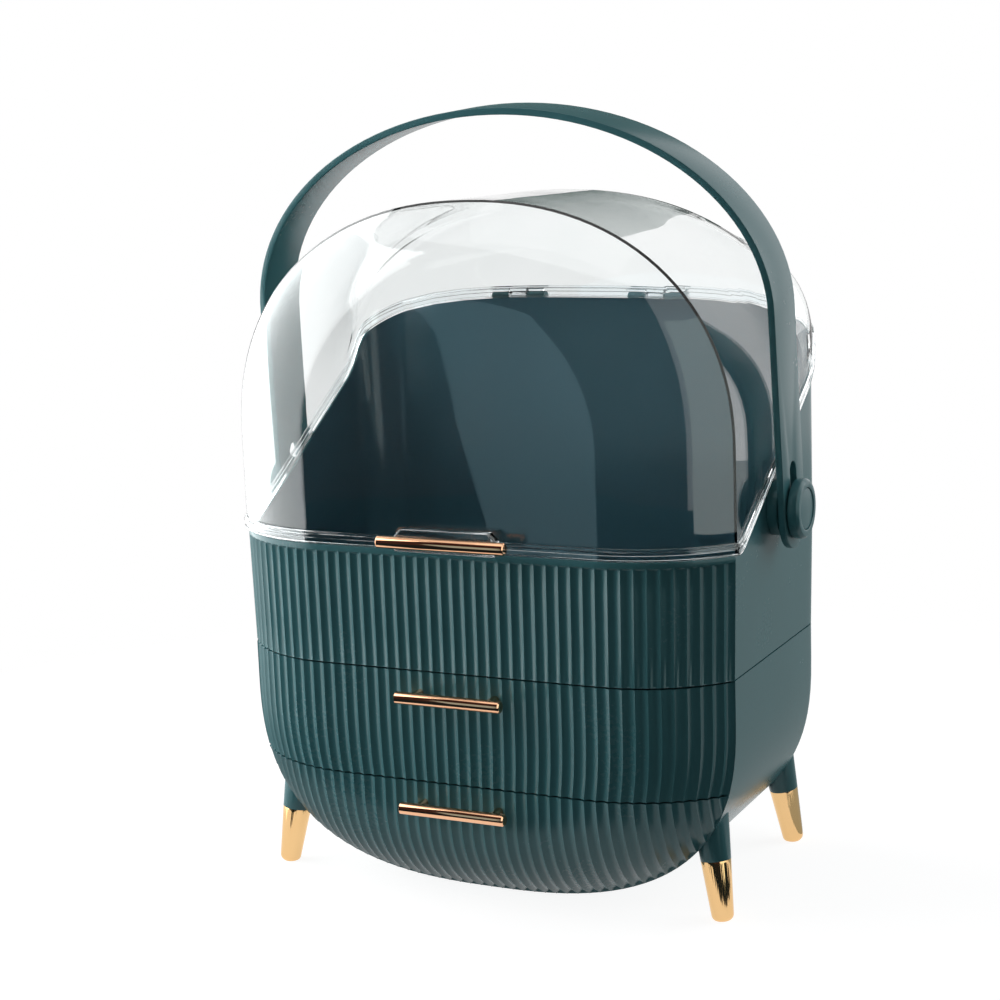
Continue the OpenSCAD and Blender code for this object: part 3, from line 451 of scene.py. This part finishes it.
# %% The flute tree
def flute_tree():
    tree = bpy.data.node_groups.new("hollow_flutes", "GeometryNodeTree")
    face = tree.interface
    face.new_socket("Geometry", in_out="INPUT", socket_type="NodeSocketGeometry")
    for name, value in (("Flute depth", flute_depth * MM), ("Hollow power", hollow_power)):
        face.new_socket(name, in_out="INPUT", socket_type="NodeSocketFloat").default_value = value
    face.new_socket("Finish", in_out="INPUT", socket_type="NodeSocketMaterial")
    face.new_socket("Geometry", in_out="OUTPUT", socket_type="NodeSocketGeometry")
    maker = Maker(tree)
    start = tree.nodes.new("NodeGroupInput")
    depth = Value(maker, start.outputs["Flute depth"])
    power = Value(maker, start.outputs["Hollow power"])

    def stored(name, kind):
        return maker.node("GeometryNodeInputNamedAttribute", {"data_type": kind}, {"Name": name})

    phase = maker.node("ShaderNodeMath", {"operation": "FRACT"}, [stored("flute_phase", "FLOAT")])
    away = maker.node("ShaderNodeMath", {"operation": "ABSOLUTE"}, [phase - 0.5]) * 2.0
    sink = (1 - away**power) * depth * stored("flute_weight", "FLOAT")
    inward = stored("inward", "FLOAT_VECTOR")
    offset = maker.node("ShaderNodeVectorMath", {"operation": "SCALE"}, {"Vector": inward, "Scale": sink})
    wall = Value(maker, start.outputs[0])
    moved = maker.node("GeometryNodeSetPosition", inputs={"Geometry": wall, "Offset": offset})
    real = maker.node("GeometryNodeRealizeInstances", inputs={"Geometry": moved})
    finish = Value(maker, start.outputs["Finish"])
    painted = maker.node("GeometryNodeSetMaterial", inputs={"Geometry": real, "Material": finish})
    end = tree.nodes.new("NodeGroupOutput")
    tree.links.new(painted.socket, end.inputs[0])
    return tree


def set_input(modifier, name, value):
    for item in modifier.node_group.interface.items_tree:
        if item.item_type == "SOCKET" and item.in_out == "INPUT" and item.name == name:
            modifier[item.identifier] = value
            return
    raise KeyError(name)


def settle(obj):
    """Turns an object with modifiers into a plain mesh."""
    depsgraph = bpy.context.evaluated_depsgraph_get()
    made = bpy.data.meshes.new_from_object(obj.evaluated_get(depsgraph))
    obj.modifiers.clear()
    obj.data = made
    smooth(made)
    for extra in [a.name for a in made.attributes if a.name in ("flute_phase", "flute_weight", "inward")]:
        made.attributes.remove(made.attributes[extra])


flutes = flute_tree()


def fluted(name, rows, faces, finish):
    """A wall whose flutes are hollowed out by the flute tree. A row's items are as in shell_level."""
    points, phases, weights, inward = zip(*[item for row in rows for item in row])
    mesh = bpy.data.meshes.new(name)
    mesh.from_pydata([metres(*p) for p in points], [], faces)
    for label, kind, values in (("flute_phase", "FLOAT", phases), ("flute_weight", "FLOAT", weights)):
        mesh.attributes.new(label, kind, "POINT").data.foreach_set("value", values)
    flat_inward = [v for direction in inward for v in direction]
    mesh.attributes.new("inward", "FLOAT_VECTOR", "POINT").data.foreach_set("vector", flat_inward)
    with edited(mesh) as bm:
        bmesh.ops.recalc_face_normals(bm, faces=bm.faces)
    obj = add_object(name, mesh)
    cut = obj.modifiers.new("flutes", "NODES")
    cut.node_group = flutes
    set_input(cut, "Flute depth", flute_depth * MM)
    set_input(cut, "Hollow power", hollow_power)
    set_input(cut, "Finish", finish)
    obj.data.materials.append(finish)
    settle(obj)
    print(name, len(obj.data.polygons), "faces")
    return obj


def dress(obj, body, *nodes):
    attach(obj, body)
    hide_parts(*nodes)


# %% [markdown]
# ## The upper shell
# One loop of points runs round the whole shell: twelve points to each flute in front, then the smooth sides
# and the back. It is repeated at each height. The flutes stop below the lid's edge and leave a plain band,
# and the compartment's inner surface takes the inside finish, whose darker colour is painted shade.

# %% Upper shell
points_a_flute, corner_step, rear_steps = 12, 6, 12
shell_heights = (155.0, 175.0, 190.0)
front_steps = flute_count * points_a_flute


def shell_level(w, o, z, weight):
    """One level: points, flute phases, weights and inward directions. A tuple z is a lift over the edge."""
    rows = []
    for i in range(front_steps + 1):
        t = 2 * i / front_steps - 1
        place, out = front_point(t, w, o)
        end = i in (0, front_steps)
        rows.append((place, i / points_a_flute, 0.0 if end else weight, (-out[0], -out[1], 0.0)))
    for place in back_loop(w, o, side_ys, corner_step, rear_steps):
        rows.append((place, 0.0, 0.0, (0.0, 0.0, 0.0)))
    made = []
    for k, (place, phase, amount, inward) in enumerate(rows):
        height = top_edge(*shell_plan[k]) + z[0] if isinstance(z, tuple) else z
        made.append(((place[0], place[1], height), phase, amount, inward))
    return made


shell_plan = [front_point(2 * i / front_steps - 1, edge_half, 0)[0] for i in range(front_steps + 1)]
shell_plan += back_loop(edge_half, 0, side_ys, corner_step, rear_steps)


def upper_shell():
    bottom = high_seam_z + seam_gap / 2
    inner_floor = bottom + casing_wall
    fade_steps = [
        (1.0, flute_top_z - flute_fade), (0.8, flute_top_z - 0.9),
        (0.35, flute_top_z - 0.35), (0.0, flute_top_z),
    ]
    outer = [
        shell_level(casing_half(bottom), -casing_wall, bottom, 0.0),
        shell_level(casing_half(bottom), -0.5, bottom, 0.3),
        shell_level(casing_half(bottom), 0, bottom + 0.5, 1.0),
    ]
    outer += [shell_level(casing_half(z), 0, z, 1.0) for z in shell_heights]
    outer += [shell_level(casing_half(z), 0, z, weight) for weight, z in fade_steps]
    outer += [
        shell_level(edge_half, 0, (-2.0,), 0.0), shell_level(edge_half, 0, (-0.5,), 0.0),
        shell_level(edge_half, -0.15, (-0.15,), 0.0), shell_level(edge_half, -0.5, (0.0,), 0.0),
    ]
    inner = [
        shell_level(half_w, -casing_wall - 3.0, inner_floor, 0.0),
        shell_level(half_w, -casing_wall - 0.9, inner_floor + 0.9, 0.0),
        shell_level(half_w, -casing_wall, inner_floor + 3.0, 0.0),
        shell_level(casing_half(shell_heights[-1]), -casing_wall, shell_heights[-1], 0.0),
        shell_level(edge_half, -casing_wall, (-2.0,), 0.0),
        shell_level(edge_half, -casing_wall + 0.5, (0.0,), 0.0),
    ]
    cols = len(outer[0])
    faces = wall_faces(len(outer), len(inner), cols, closed=True, join_first=False)
    faces.append(tuple(range(cols)))
    faces.append(tuple(range(len(outer) * cols, (len(outer) + 1) * cols)))
    shell = fluted("upper_shell_fluted", outer + inner, faces, teal)
    # The inner faces get the darker inside finish: painted shade of the compartment.
    shell.data.materials.append(inside_teal_painted_shade)
    first_inside = len(outer) * cols
    for polygon in shell.data.polygons:
        polygon.material_index = int(min(polygon.vertices) >= first_inside)
    return shell


dress(upper_shell(), "casing", "upper_shell")

# %% [markdown]
# ## The drawer fronts
# Both fronts continue the shell's flutes downwards. The lower one curls under into the belly: each flute
# keeps to its upright plane, and the surface below it leans back until it meets the belly's outline.


# %% Drawer fronts
def front_surface(x, z, level):
    """Point of the smooth front at x, z and the direction into it."""
    def depth(px, pz):
        return bow_y(half_w * min(1.0, outline_share(px, pz)), half_w)
    step, y = 0.2, depth(x, z)
    slope_x = (depth(x + step, z) - depth(x - step, z)) / (2 * step)
    slope_z = 0.0 if level else (depth(x, z + step) - depth(x, z - step)) / (2 * step)
    n = math.sqrt(slope_x * slope_x + 1 + slope_z * slope_z)
    return (x, min(bow_depth - part_gap, y), z), (-slope_x / n, 1 / n, -slope_z / n)


lining = front_wall * lining_share
lining_reach = (half_w - lining) / half_w


def lining_y(x, z):
    r = bow_r(half_w)
    across = half_w * outline_share(x / lining_reach, z) * lining_reach
    d = min(max(0.0, across - flat_half), r - front_wall)
    return min(bow_depth - part_gap, r - math.sqrt((r - front_wall) ** 2 - d * d))


def station_x(t, z):
    return front_point(t, half_w, 0)[0][0] * casing_half(max(z, low_seam_z)) / half_w


def drawer_front(name, top, column, rows, low_reach, finish):
    """column(t, v) gives a point's x, height and flute weight, and the first row's flutes sink level.

    low_reach draws the lining's heights in towards the top; None leaves them and sinks every flute level.
    """
    outer, inner = [], []
    for k, v in enumerate(rows):
        out_row, in_row = [], []
        for i in range(front_steps + 1):
            t = 2 * i / front_steps - 1
            x, z, weight = column(t, v)
            place, inward = front_surface(x, z, low_reach is None or k == 0)
            if i in (0, front_steps):
                weight = 0.0
            out_row.append((place, i / points_a_flute, weight, inward))
            z_in = z if low_reach is None else top - (top - z) * low_reach
            x_in = x * lining_reach
            in_row.append(((x_in, lining_y(x_in, z), z_in), 0.0, 0.0, (0.0, 0.0, 0.0)))
        outer.append(out_row)
        inner.append(in_row)
    cols = front_steps + 1
    faces = wall_faces(len(outer), len(inner), cols, closed=False) + flat_ends(len(outer), len(inner), cols)
    return fluted(name, outer + inner, faces, finish)


high_top, high_bottom = high_seam_z - seam_gap / 2, low_seam_z + seam_gap / 2
low_top = low_seam_z - seam_gap / 2


def high_column(t, v):
    z = high_top + (high_bottom - high_top) * v
    return station_x(t, z), z, 1.0


def low_column(t, v):
    x = station_x(t, low_top)
    run = max(1.0, low_top - belly_edge(x))
    return x, low_top - run * v, min(1.0, run / flute_run)


high_rows = [k / 10 for k in range(11)]
low_rows = [math.sin(math.pi / 2 * k / 26) for k in range(27)]
upper_front = drawer_front("upper_front_fluted", high_top, high_column, high_rows, None, teal)
dress(upper_front, "upper_drawer", "upper_drawer_front")
low_lining = 1 - lining / (low_top - belly_z)
lower_front = drawer_front("lower_front_fluted", low_top, low_column, low_rows, low_lining, teal)
dress(lower_front, "lower_drawer", "lower_drawer_front")

# %% [markdown]
# ## The housing
# Behind the fronts the housing is smooth. Rings of its belly outline shrink round the rear corners, which is
# how the mould's outside turns into the flat back.


# %% Housing
def housing_ring(a, inset, y=None):
    w, r, top = half_w - inset, corner_r - inset, high_seam_z + seam_gap / 2 - part_gap
    share = (w - r + r * math.cos(a)) / w
    rise = (belly_rise - inset) * share
    ring = [(-w * share, top)]
    for k in range(0, 180 + arc_step, arc_step):
        c, s = math.cos(math.radians(k)), max(0.0, math.sin(math.radians(k)))
        x = -math.copysign(w * share * abs(c) ** (2 / belly_power), c)
        ring.append((x, round_z - rise * s ** (2 / belly_power)))
    ring.append((w * share, top))
    return [(x, corner_y + r * math.sin(a) if y is None else y, z) for x, z in ring]


def lower_housing():
    def rings(inset):
        made = [housing_ring(math.radians(k), inset) for k in range(90, -corner_step, -corner_step)]
        return made + [housing_ring(0.0, inset, y) for y in (120.0, 80.0, bow_depth + part_gap)]
    outer, inner = rings(0), rings(casing_wall)
    faces = ringed_wall(len(outer), len(outer[0]))
    return wall_object("lower_housing_smooth", outer + inner, faces, teal, 40)


dress(lower_housing(), "casing", "lower_housing")

# %% [markdown]
# ## The clear lid
# The dome is one wall 2.4 mm thick. Its flat front panel bows back to a crease, then a vault runs to the rear
# and falls to the casing's arched back wall. Real thickness matters: the two surfaces give the double lines
# along every edge without any painting.


# %% Lid shell
def arch_row(w, z0, rise):
    row = []
    for k in range(0, 180 + arc_step, arc_step):
        c, s = math.cos(math.radians(k)), max(0.0, math.sin(math.radians(k)))
        row.append((-math.copysign(w * abs(c) ** (2 / lid_power), c), z0 + rise * s ** (2 / lid_power)))
    return row


def spring_z(y):
    return max(lid_spring_z, side_edge(y) + lid_gap + rim_h)


def lid_front_ring(t, inset):
    (w, y), _ = front_point(t, lid_half, -inset)
    rise = (lid_rise - inset) * w / (lid_half - inset)
    low = edge_z + lid_gap
    ring = [(-w, low)] + arch_row(w, lid_spring_z, rise) + [(w, low)]
    return [(x, y, z) for x, z in ring]


def lid_vault_ring(y, inset):
    w, z0, low = lid_half - inset, spring_z(y), side_edge(y) + lid_gap
    ring = [(-w, low)] + arch_row(w, z0, lid_spring_z + lid_rise - inset - z0) + [(w, low)]
    return [(x, y, z) for x, z in ring]


def plan_back(x, inset):
    d, r = max(0.0, abs(x) - (lid_half - corner_r)), corner_r - inset
    return corner_y + math.sqrt(max(0.0, r * r - d * d))


def back_fall(x, y, inset):
    back, out = plan_back(x, inset), plan_back(x, 0)
    tau = 1.0 if back <= vault_y else min(1.0, (y - vault_y) / (back - vault_y))
    rim_top, z0 = top_edge(x, out) + lid_gap + rim_h, spring_z(y)
    vault = z0 + (lid_spring_z + lid_rise - inset - z0) * arch_share(x / (lid_half - inset), lid_power)
    return rim_top + (vault - rim_top) * math.sqrt(max(0.0, 1 - max(0.0, tau) ** 2))


def lid_back_ring(a, inset):
    r, s, c = corner_r - inset, math.sin(a), math.cos(a)
    w, y = lid_half - corner_r + r * c, corner_y + r * s
    low = top_edge(edge_half - corner_r + corner_r * c, corner_y + corner_r * s) + lid_gap
    xs = [p[0] for p in arch_row(w, 0, 1)]
    return [(-w, y, low)] + [(x, y, back_fall(x, y, inset)) for x in xs] + [(w, y, low)]


def bow_shares(share):
    return [share + (1 - share) * k / lid_bow_steps for k in range(lid_bow_steps + 1)]


def lid_rings(inset):
    share = flat_share(lid_half)
    rings = [lid_front_ring(share * k / 8, inset) for k in range(1, 8)]
    rings += [lid_front_ring(t, inset) for t in bow_shares(share)]
    rings += [lid_vault_ring(y, inset) for y in side_ys[1:] if y < corner_y]
    rings += [lid_back_ring(math.radians(k), inset) for k in range(0, 90 + corner_step, corner_step)]
    reach = (edge_half - corner_r) / (lid_half - corner_r)
    skirt = [(x, y, top_edge(x * reach, casing_d) + lid_gap) for x, y, _ in rings[-1]]
    return rings + [skirt]


def lid_shell():
    outer, inner = lid_rings(0), lid_rings(lid_wall)
    return wall_object("lid_clear_dome", outer + inner, ringed_wall(len(outer), len(outer[0])), clear, 28)


dress(lid_shell(), "lid", "lid_shell")

# %% [markdown]
# ## The lid's rim
# The rim is a clear ridged band round the lid's lower edge: a lip, a plain stretch, a bead, and a flange
# above. Its section is written as pairs of how far it stands out and how high it is, drawn round the lid.

# %% Rim
rim_section = [
    (0.1, 0.0), (0.9, 0.0), (1.3, 0.15), (1.4, 0.5), (1.25, 0.85), (0.95, 1.0),
    (0.95, 3.2), (1.5, 3.5), (1.6, 3.9), (1.6, 4.7), (1.4, 5.1), (0.95, 5.25),
    (0.9, 5.45), (1.2, 5.75), (1.2, 6.3), (0.9, 6.8), (0.45, 7.0), (0.1, 7.0),
]


def lid_rim():
    share = flat_share(lid_half)
    bow = bow_shares(share)
    ts = [-t for t in reversed(bow)] + [share * k / 4 for k in range(-3, 4)] + bow

    def loop(w, o):
        return [front_point(t, w, o)[0] for t in ts] + back_loop(w, o, side_ys[1:], corner_step, rear_steps)
    plan = loop(edge_half, 0)
    rows = [
        [(x, y, top_edge(*plan[k]) + lid_gap + lift) for k, (x, y) in enumerate(loop(lid_half, o))]
        for o, lift in rim_section
    ]
    rows.append(rows[0])
    return wall_object("lid_rim_ridged", rows, quads(len(rows), len(plan), 0, True), clear_rim, 30)


dress(lid_rim(), "lid", "lid_rim")

# %% [markdown]
# ## Polished copies of the plainer pieces
# Legs, feet, knobs, the handle and the bars already have the right shape in CAD. A sharp CAD edge looks wrong
# close up, though, because moulded and turned edges always catch a line of light. So each gets a copy whose
# flat facets are merged and whose edges are rounded by a Bevel modifier.


# %% Polishing
bevel_angle, facet_angle = math.radians(38), math.radians(0.5)


def polish(node, body, name, finish, width, segments=3):
    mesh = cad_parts[node].data.copy()
    with edited(mesh) as bm:
        bmesh.ops.remove_doubles(bm, verts=bm.verts, dist=2e-6)
        bmesh.ops.dissolve_limit(bm, angle_limit=facet_angle, verts=bm.verts, edges=bm.edges)
    obj = add_object(name, mesh)
    mesh.materials.clear()
    mesh.materials.append(finish)
    edge = obj.modifiers.new("edges", "BEVEL")
    edge.width, edge.segments, edge.limit_method = width * MM, segments, "ANGLE"
    edge.angle_limit = bevel_angle
    edge.use_clamp_overlap = True
    settle(obj)
    dress(obj, body, node)


for side in ("left", "right"):
    polish(f"side_boss_{side}", "casing", f"boss_{side}", teal, 0.5)
    polish(f"knob_{side}", "pivots", f"round_knob_{side}", teal, 0.35)
    polish(f"knob_cap_{side}", "pivots", f"knob_disc_{side}", teal, 0.2)
    polish(f"pivot_stud_{side}", "pivots", f"stud_{side}", dark_plastic, 0.3)
    polish(f"pivot_washer_{side}", "pivots", f"washer_{side}", dark_plastic, 0.1)
    for end in ("front", "rear"):
        polish(f"leg_{end}_{side}", "casing", f"upper_leg_{end}_{side}", teal, 0.25)
        polish(f"foot_{end}_{side}", "casing", f"gold_foot_{end}_{side}", foot_gold, 0.3)
polish("handle_strap", "handle", "strap_rounded", teal, 0.7, 4)
polish("lid_bar_bracket", "lid", "bracket_clear", clear_rim, 1.2, 4)
polish("lid_hinge_leaves", "lid", "lid_hinge_clear", clear_rim, 0.2)
polish("casing_hinge_leaves", "casing", "casing_hinge_teal", teal, 0.2)
polish("hinge_pins", "casing", "pins_bright", steel, 0.3)
polish("drawer_shelf", "casing", "shelf_between", dark_plastic, 0.3)
polish("upper_drawer_tray", "upper_drawer", "upper_tray_soft", dark_plastic, 0.5)
polish("lower_drawer_tray", "lower_drawer", "lower_tray_soft", dark_plastic, 0.5)
polish("upper_bar_screws", "upper_drawer", "upper_screws", steel, 0.2)
polish("lower_bar_screws", "lower_drawer", "lower_screws", steel, 0.2)
polish("upper_drawer_bar", "upper_drawer", "upper_pull", gold, 0.25)
polish("lower_drawer_bar", "lower_drawer", "lower_pull", gold, 0.25)
polish("lid_bar", "lid", "lid_pull", gold, 0.25)

# %% [markdown]
# ## Floor and light
# The photograph is a cut-out on white. The floor keeps the object's shadow close by and turns white further
# out. Light Path makes it and the world pale for the camera, and for what metal and glass show, without more
# light on the object.


# %% Floor and world
def ray_kind(maker, *names):
    """1 for rays of the named kinds, 0 for all others."""
    light = maker.tree.nodes.new("ShaderNodeLightPath")
    total = 0.0
    for name in names:
        total = Value(maker, light.outputs[name]) + total
    return maker.node("ShaderNodeMath", {"operation": "MINIMUM"}, [total, 1.0])


def finish_tree(tree, kind, surface):
    end = tree.nodes.new(kind)
    tree.links.new(surface.socket, end.inputs["Surface"])


def grey(level):
    return (level, level, level, 1)


def stage_material(name):
    material = bpy.data.materials.new(name)
    material.use_nodes = True
    material.node_tree.nodes.clear()
    return material, Maker(material.node_tree)


shown_white = ("Is Camera Ray", "Is Glossy Ray", "Is Transmission Ray")
room_fill, floor_near, floor_far = (0.13, 0.135, 0.14, 1), 0.3, 0.65
world = bpy.data.worlds.new("studio")
bpy.context.scene.world = world
world.use_nodes = True
world.node_tree.nodes.clear()
maker = Maker(world.node_tree)
seen = ray_kind(maker, *shown_white)
colour = maker.mix_colour(seen, room_fill, grey(1.0))
sky = maker.node("ShaderNodeBackground", inputs={"Color": colour, "Strength": 1.0})
finish_tree(world.node_tree, "ShaderNodeOutputWorld", sky)

bpy.ops.mesh.primitive_grid_add(x_subdivisions=2, y_subdivisions=2, size=12)
floor = bpy.context.object
floor.name = "studio_floor"
floor_paint, maker = stage_material("studio_floor")
place = maker.node("ShaderNodeTexCoord", out="Object")
away = maker.node("ShaderNodeVectorMath", {"operation": "LENGTH"}, [place], out=1)
far = maker.node("ShaderNodeMapRange", inputs={"Value": away, "From Min": floor_near, "From Max": floor_far})
keeps_shadow = maker.node("ShaderNodeBsdfDiffuse", inputs={"Color": grey(0.30)})
glow = maker.node("ShaderNodeEmission", inputs={"Color": grey(1.0), "Strength": 0.90})
white = maker.node("ShaderNodeEmission", inputs={"Color": grey(1.0), "Strength": 1.0})
near = maker.node("ShaderNodeAddShader", inputs=[keeps_shadow, glow])
shown = maker.node("ShaderNodeMixShader", inputs=[far, near, white])
plain = maker.node("ShaderNodeBsdfDiffuse", inputs={"Color": grey(0.25)})
seen = ray_kind(maker, *shown_white)
floor_mix = maker.node("ShaderNodeMixShader", inputs=[seen, plain, shown])
finish_tree(floor_paint.node_tree, "ShaderNodeOutputMaterial", floor_mix)
floor.data.materials.append(floor_paint)
floor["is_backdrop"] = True

# %% [markdown]
# ## Cards and soft lamps
# A studio sets cards round a shiny thing. Dark ones keep its front from mirroring a white room, and bright
# ones draw the highlights. These show only in reflections: their material is clear for every ray that has
# not left a glossy surface yet, so they light nothing directly. The lamps and the world give the plain light.


# %% Cards and lamps
def around(azimuth, distance, height):
    """A place round the object; azimuth 0 is in front and 90 at the right."""
    a = math.radians(azimuth)
    return Vector((distance * math.sin(a), -distance * math.cos(a), height))


def card(name, shade, low, high):
    """A curved sheet between two edges.

    An edge is its first and its last place, each (azimuth, distance, height).
    """
    count = 24
    rows = []
    for first, last in (low, high):
        steps = [[a + (b - a) * k / count for a, b in zip(first, last)] for k in range(count + 1)]
        rows += [around(*step) for step in steps]
    mesh = bpy.data.meshes.new(name)
    mesh.from_pydata(rows, [], quads(2, count + 1, 0, False))
    sheet = add_object(name, mesh)
    paint, maker = stage_material(name)
    light_path = maker.tree.nodes.new("ShaderNodeLightPath")
    bounces = Value(maker, light_path.outputs["Glossy Depth"])
    mirrored = maker.node("ShaderNodeMath", {"operation": "GREATER_THAN"}, [bounces, 0.5])
    nothing = maker.node("ShaderNodeBsdfTransparent")
    shown = maker.node("ShaderNodeEmission", inputs={"Color": shade, "Strength": 1.0})
    mix = maker.node("ShaderNodeMixShader", inputs=[mirrored, nothing, shown])
    finish_tree(paint.node_tree, "ShaderNodeOutputMaterial", mix)
    mesh.materials.append(paint)
    sheet.visible_camera = sheet.visible_shadow = sheet.visible_diffuse = False
    sheet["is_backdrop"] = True


on_floor = 0.002
cards = [
    ("front_card", (0.012, 0.020, 0.026, 1),
     ((-42, 0.2, on_floor), (92, 0.2, on_floor)), ((-42, 1.4, on_floor), (92, 1.4, on_floor))),
    ("front_wall", (0.045, 0.028, 0.028, 1),
     ((-70, 1.4, 0.0), (50, 1.4, 0.0)), ((-70, 1.2, 1.9), (50, 1.2, 1.9))),
    ("grey_card", (0.38, 0.58, 0.66, 1),
     ((-23, 1.08, 0.0), (-13, 1.02, 0.0)), ((-29, 1.14, 0.5), (-13, 1.02, 0.5))),
    ("left_card", (2.4, 2.5, 2.5, 1),
     ((-118, 0.42, on_floor), (-48, 0.42, on_floor)), ((-118, 0.9, on_floor), (-48, 0.9, on_floor))),
    ("left_wall", (3.4, 3.5, 3.5, 1),
     ((-116, 0.76, 0.0), (-44, 0.76, 0.0)), ((-116, 0.76, 1.1), (-44, 0.76, 1.1))),
    ("right_card", (1.6, 1.75, 1.7, 1),
     ((54, 1.25, 0.003), (100, 1.25, 0.003)), ((54, 1.25, 1.2), (100, 1.25, 1.2))),
    ("side_card", (0.42, 0.46, 0.46, 1),
     ((96, 0.17, on_floor), (178, 0.17, on_floor)), ((112, 1.6, on_floor), (178, 1.6, on_floor))),
    ("rear_card", (0.12, 0.16, 0.15, 1),
     ((186, 1.6, 0.55), (262, 1.6, 0.55)), ((186, 1.3, 1.7), (262, 1.3, 1.7))),
]
for row in cards:
    card(*row)


def soft_lamp(name, place, target, wide, high, radiance):
    """A soft box; its power follows from how bright it looks."""
    data = bpy.data.lights.new(name, "AREA")
    data.shape = "RECTANGLE"
    data.size, data.size_y = wide, high
    data.energy = radiance * math.pi * wide * high
    lamp = add_object(name, data)
    lamp.location = place
    lamp.rotation_mode = "QUATERNION"
    lamp.rotation_quaternion = (Vector(target) - Vector(place)).to_track_quat("-Z", "Y")
    lamp.visible_camera = False


soft_lamp("left_window", around(-78, 0.80, 0.56), (0, -0.03, 0.56), 1.2, 1.1, 2.4)
soft_lamp("rear_window", around(128, 1.5, 0.8), (0, 0, 0.2), 1.0, 1.3, 1.7)
soft_lamp("top_window", (0.0, -0.1, 1.5), (0, 0, 0.2), 1.0, 1.0, 0.4)
bpy.context.scene.view_settings.view_transform = "Standard"

# %% [markdown]
# ## Measure and finish
# The sizes of the CAD box and of the visual model's box are printed side by side, axis by axis.
# The visual model must stay inside the CAD box.

# %% Finish
visual_box = [list(corner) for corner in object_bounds()]
for axis in range(3):
    size = [round((b[1][axis] - b[0][axis]) * 1000, 1) for b in (cad_box, visual_box)]
    print("XYZ"[axis], "CAD", size[0], "mm, visual", size[1], "mm")
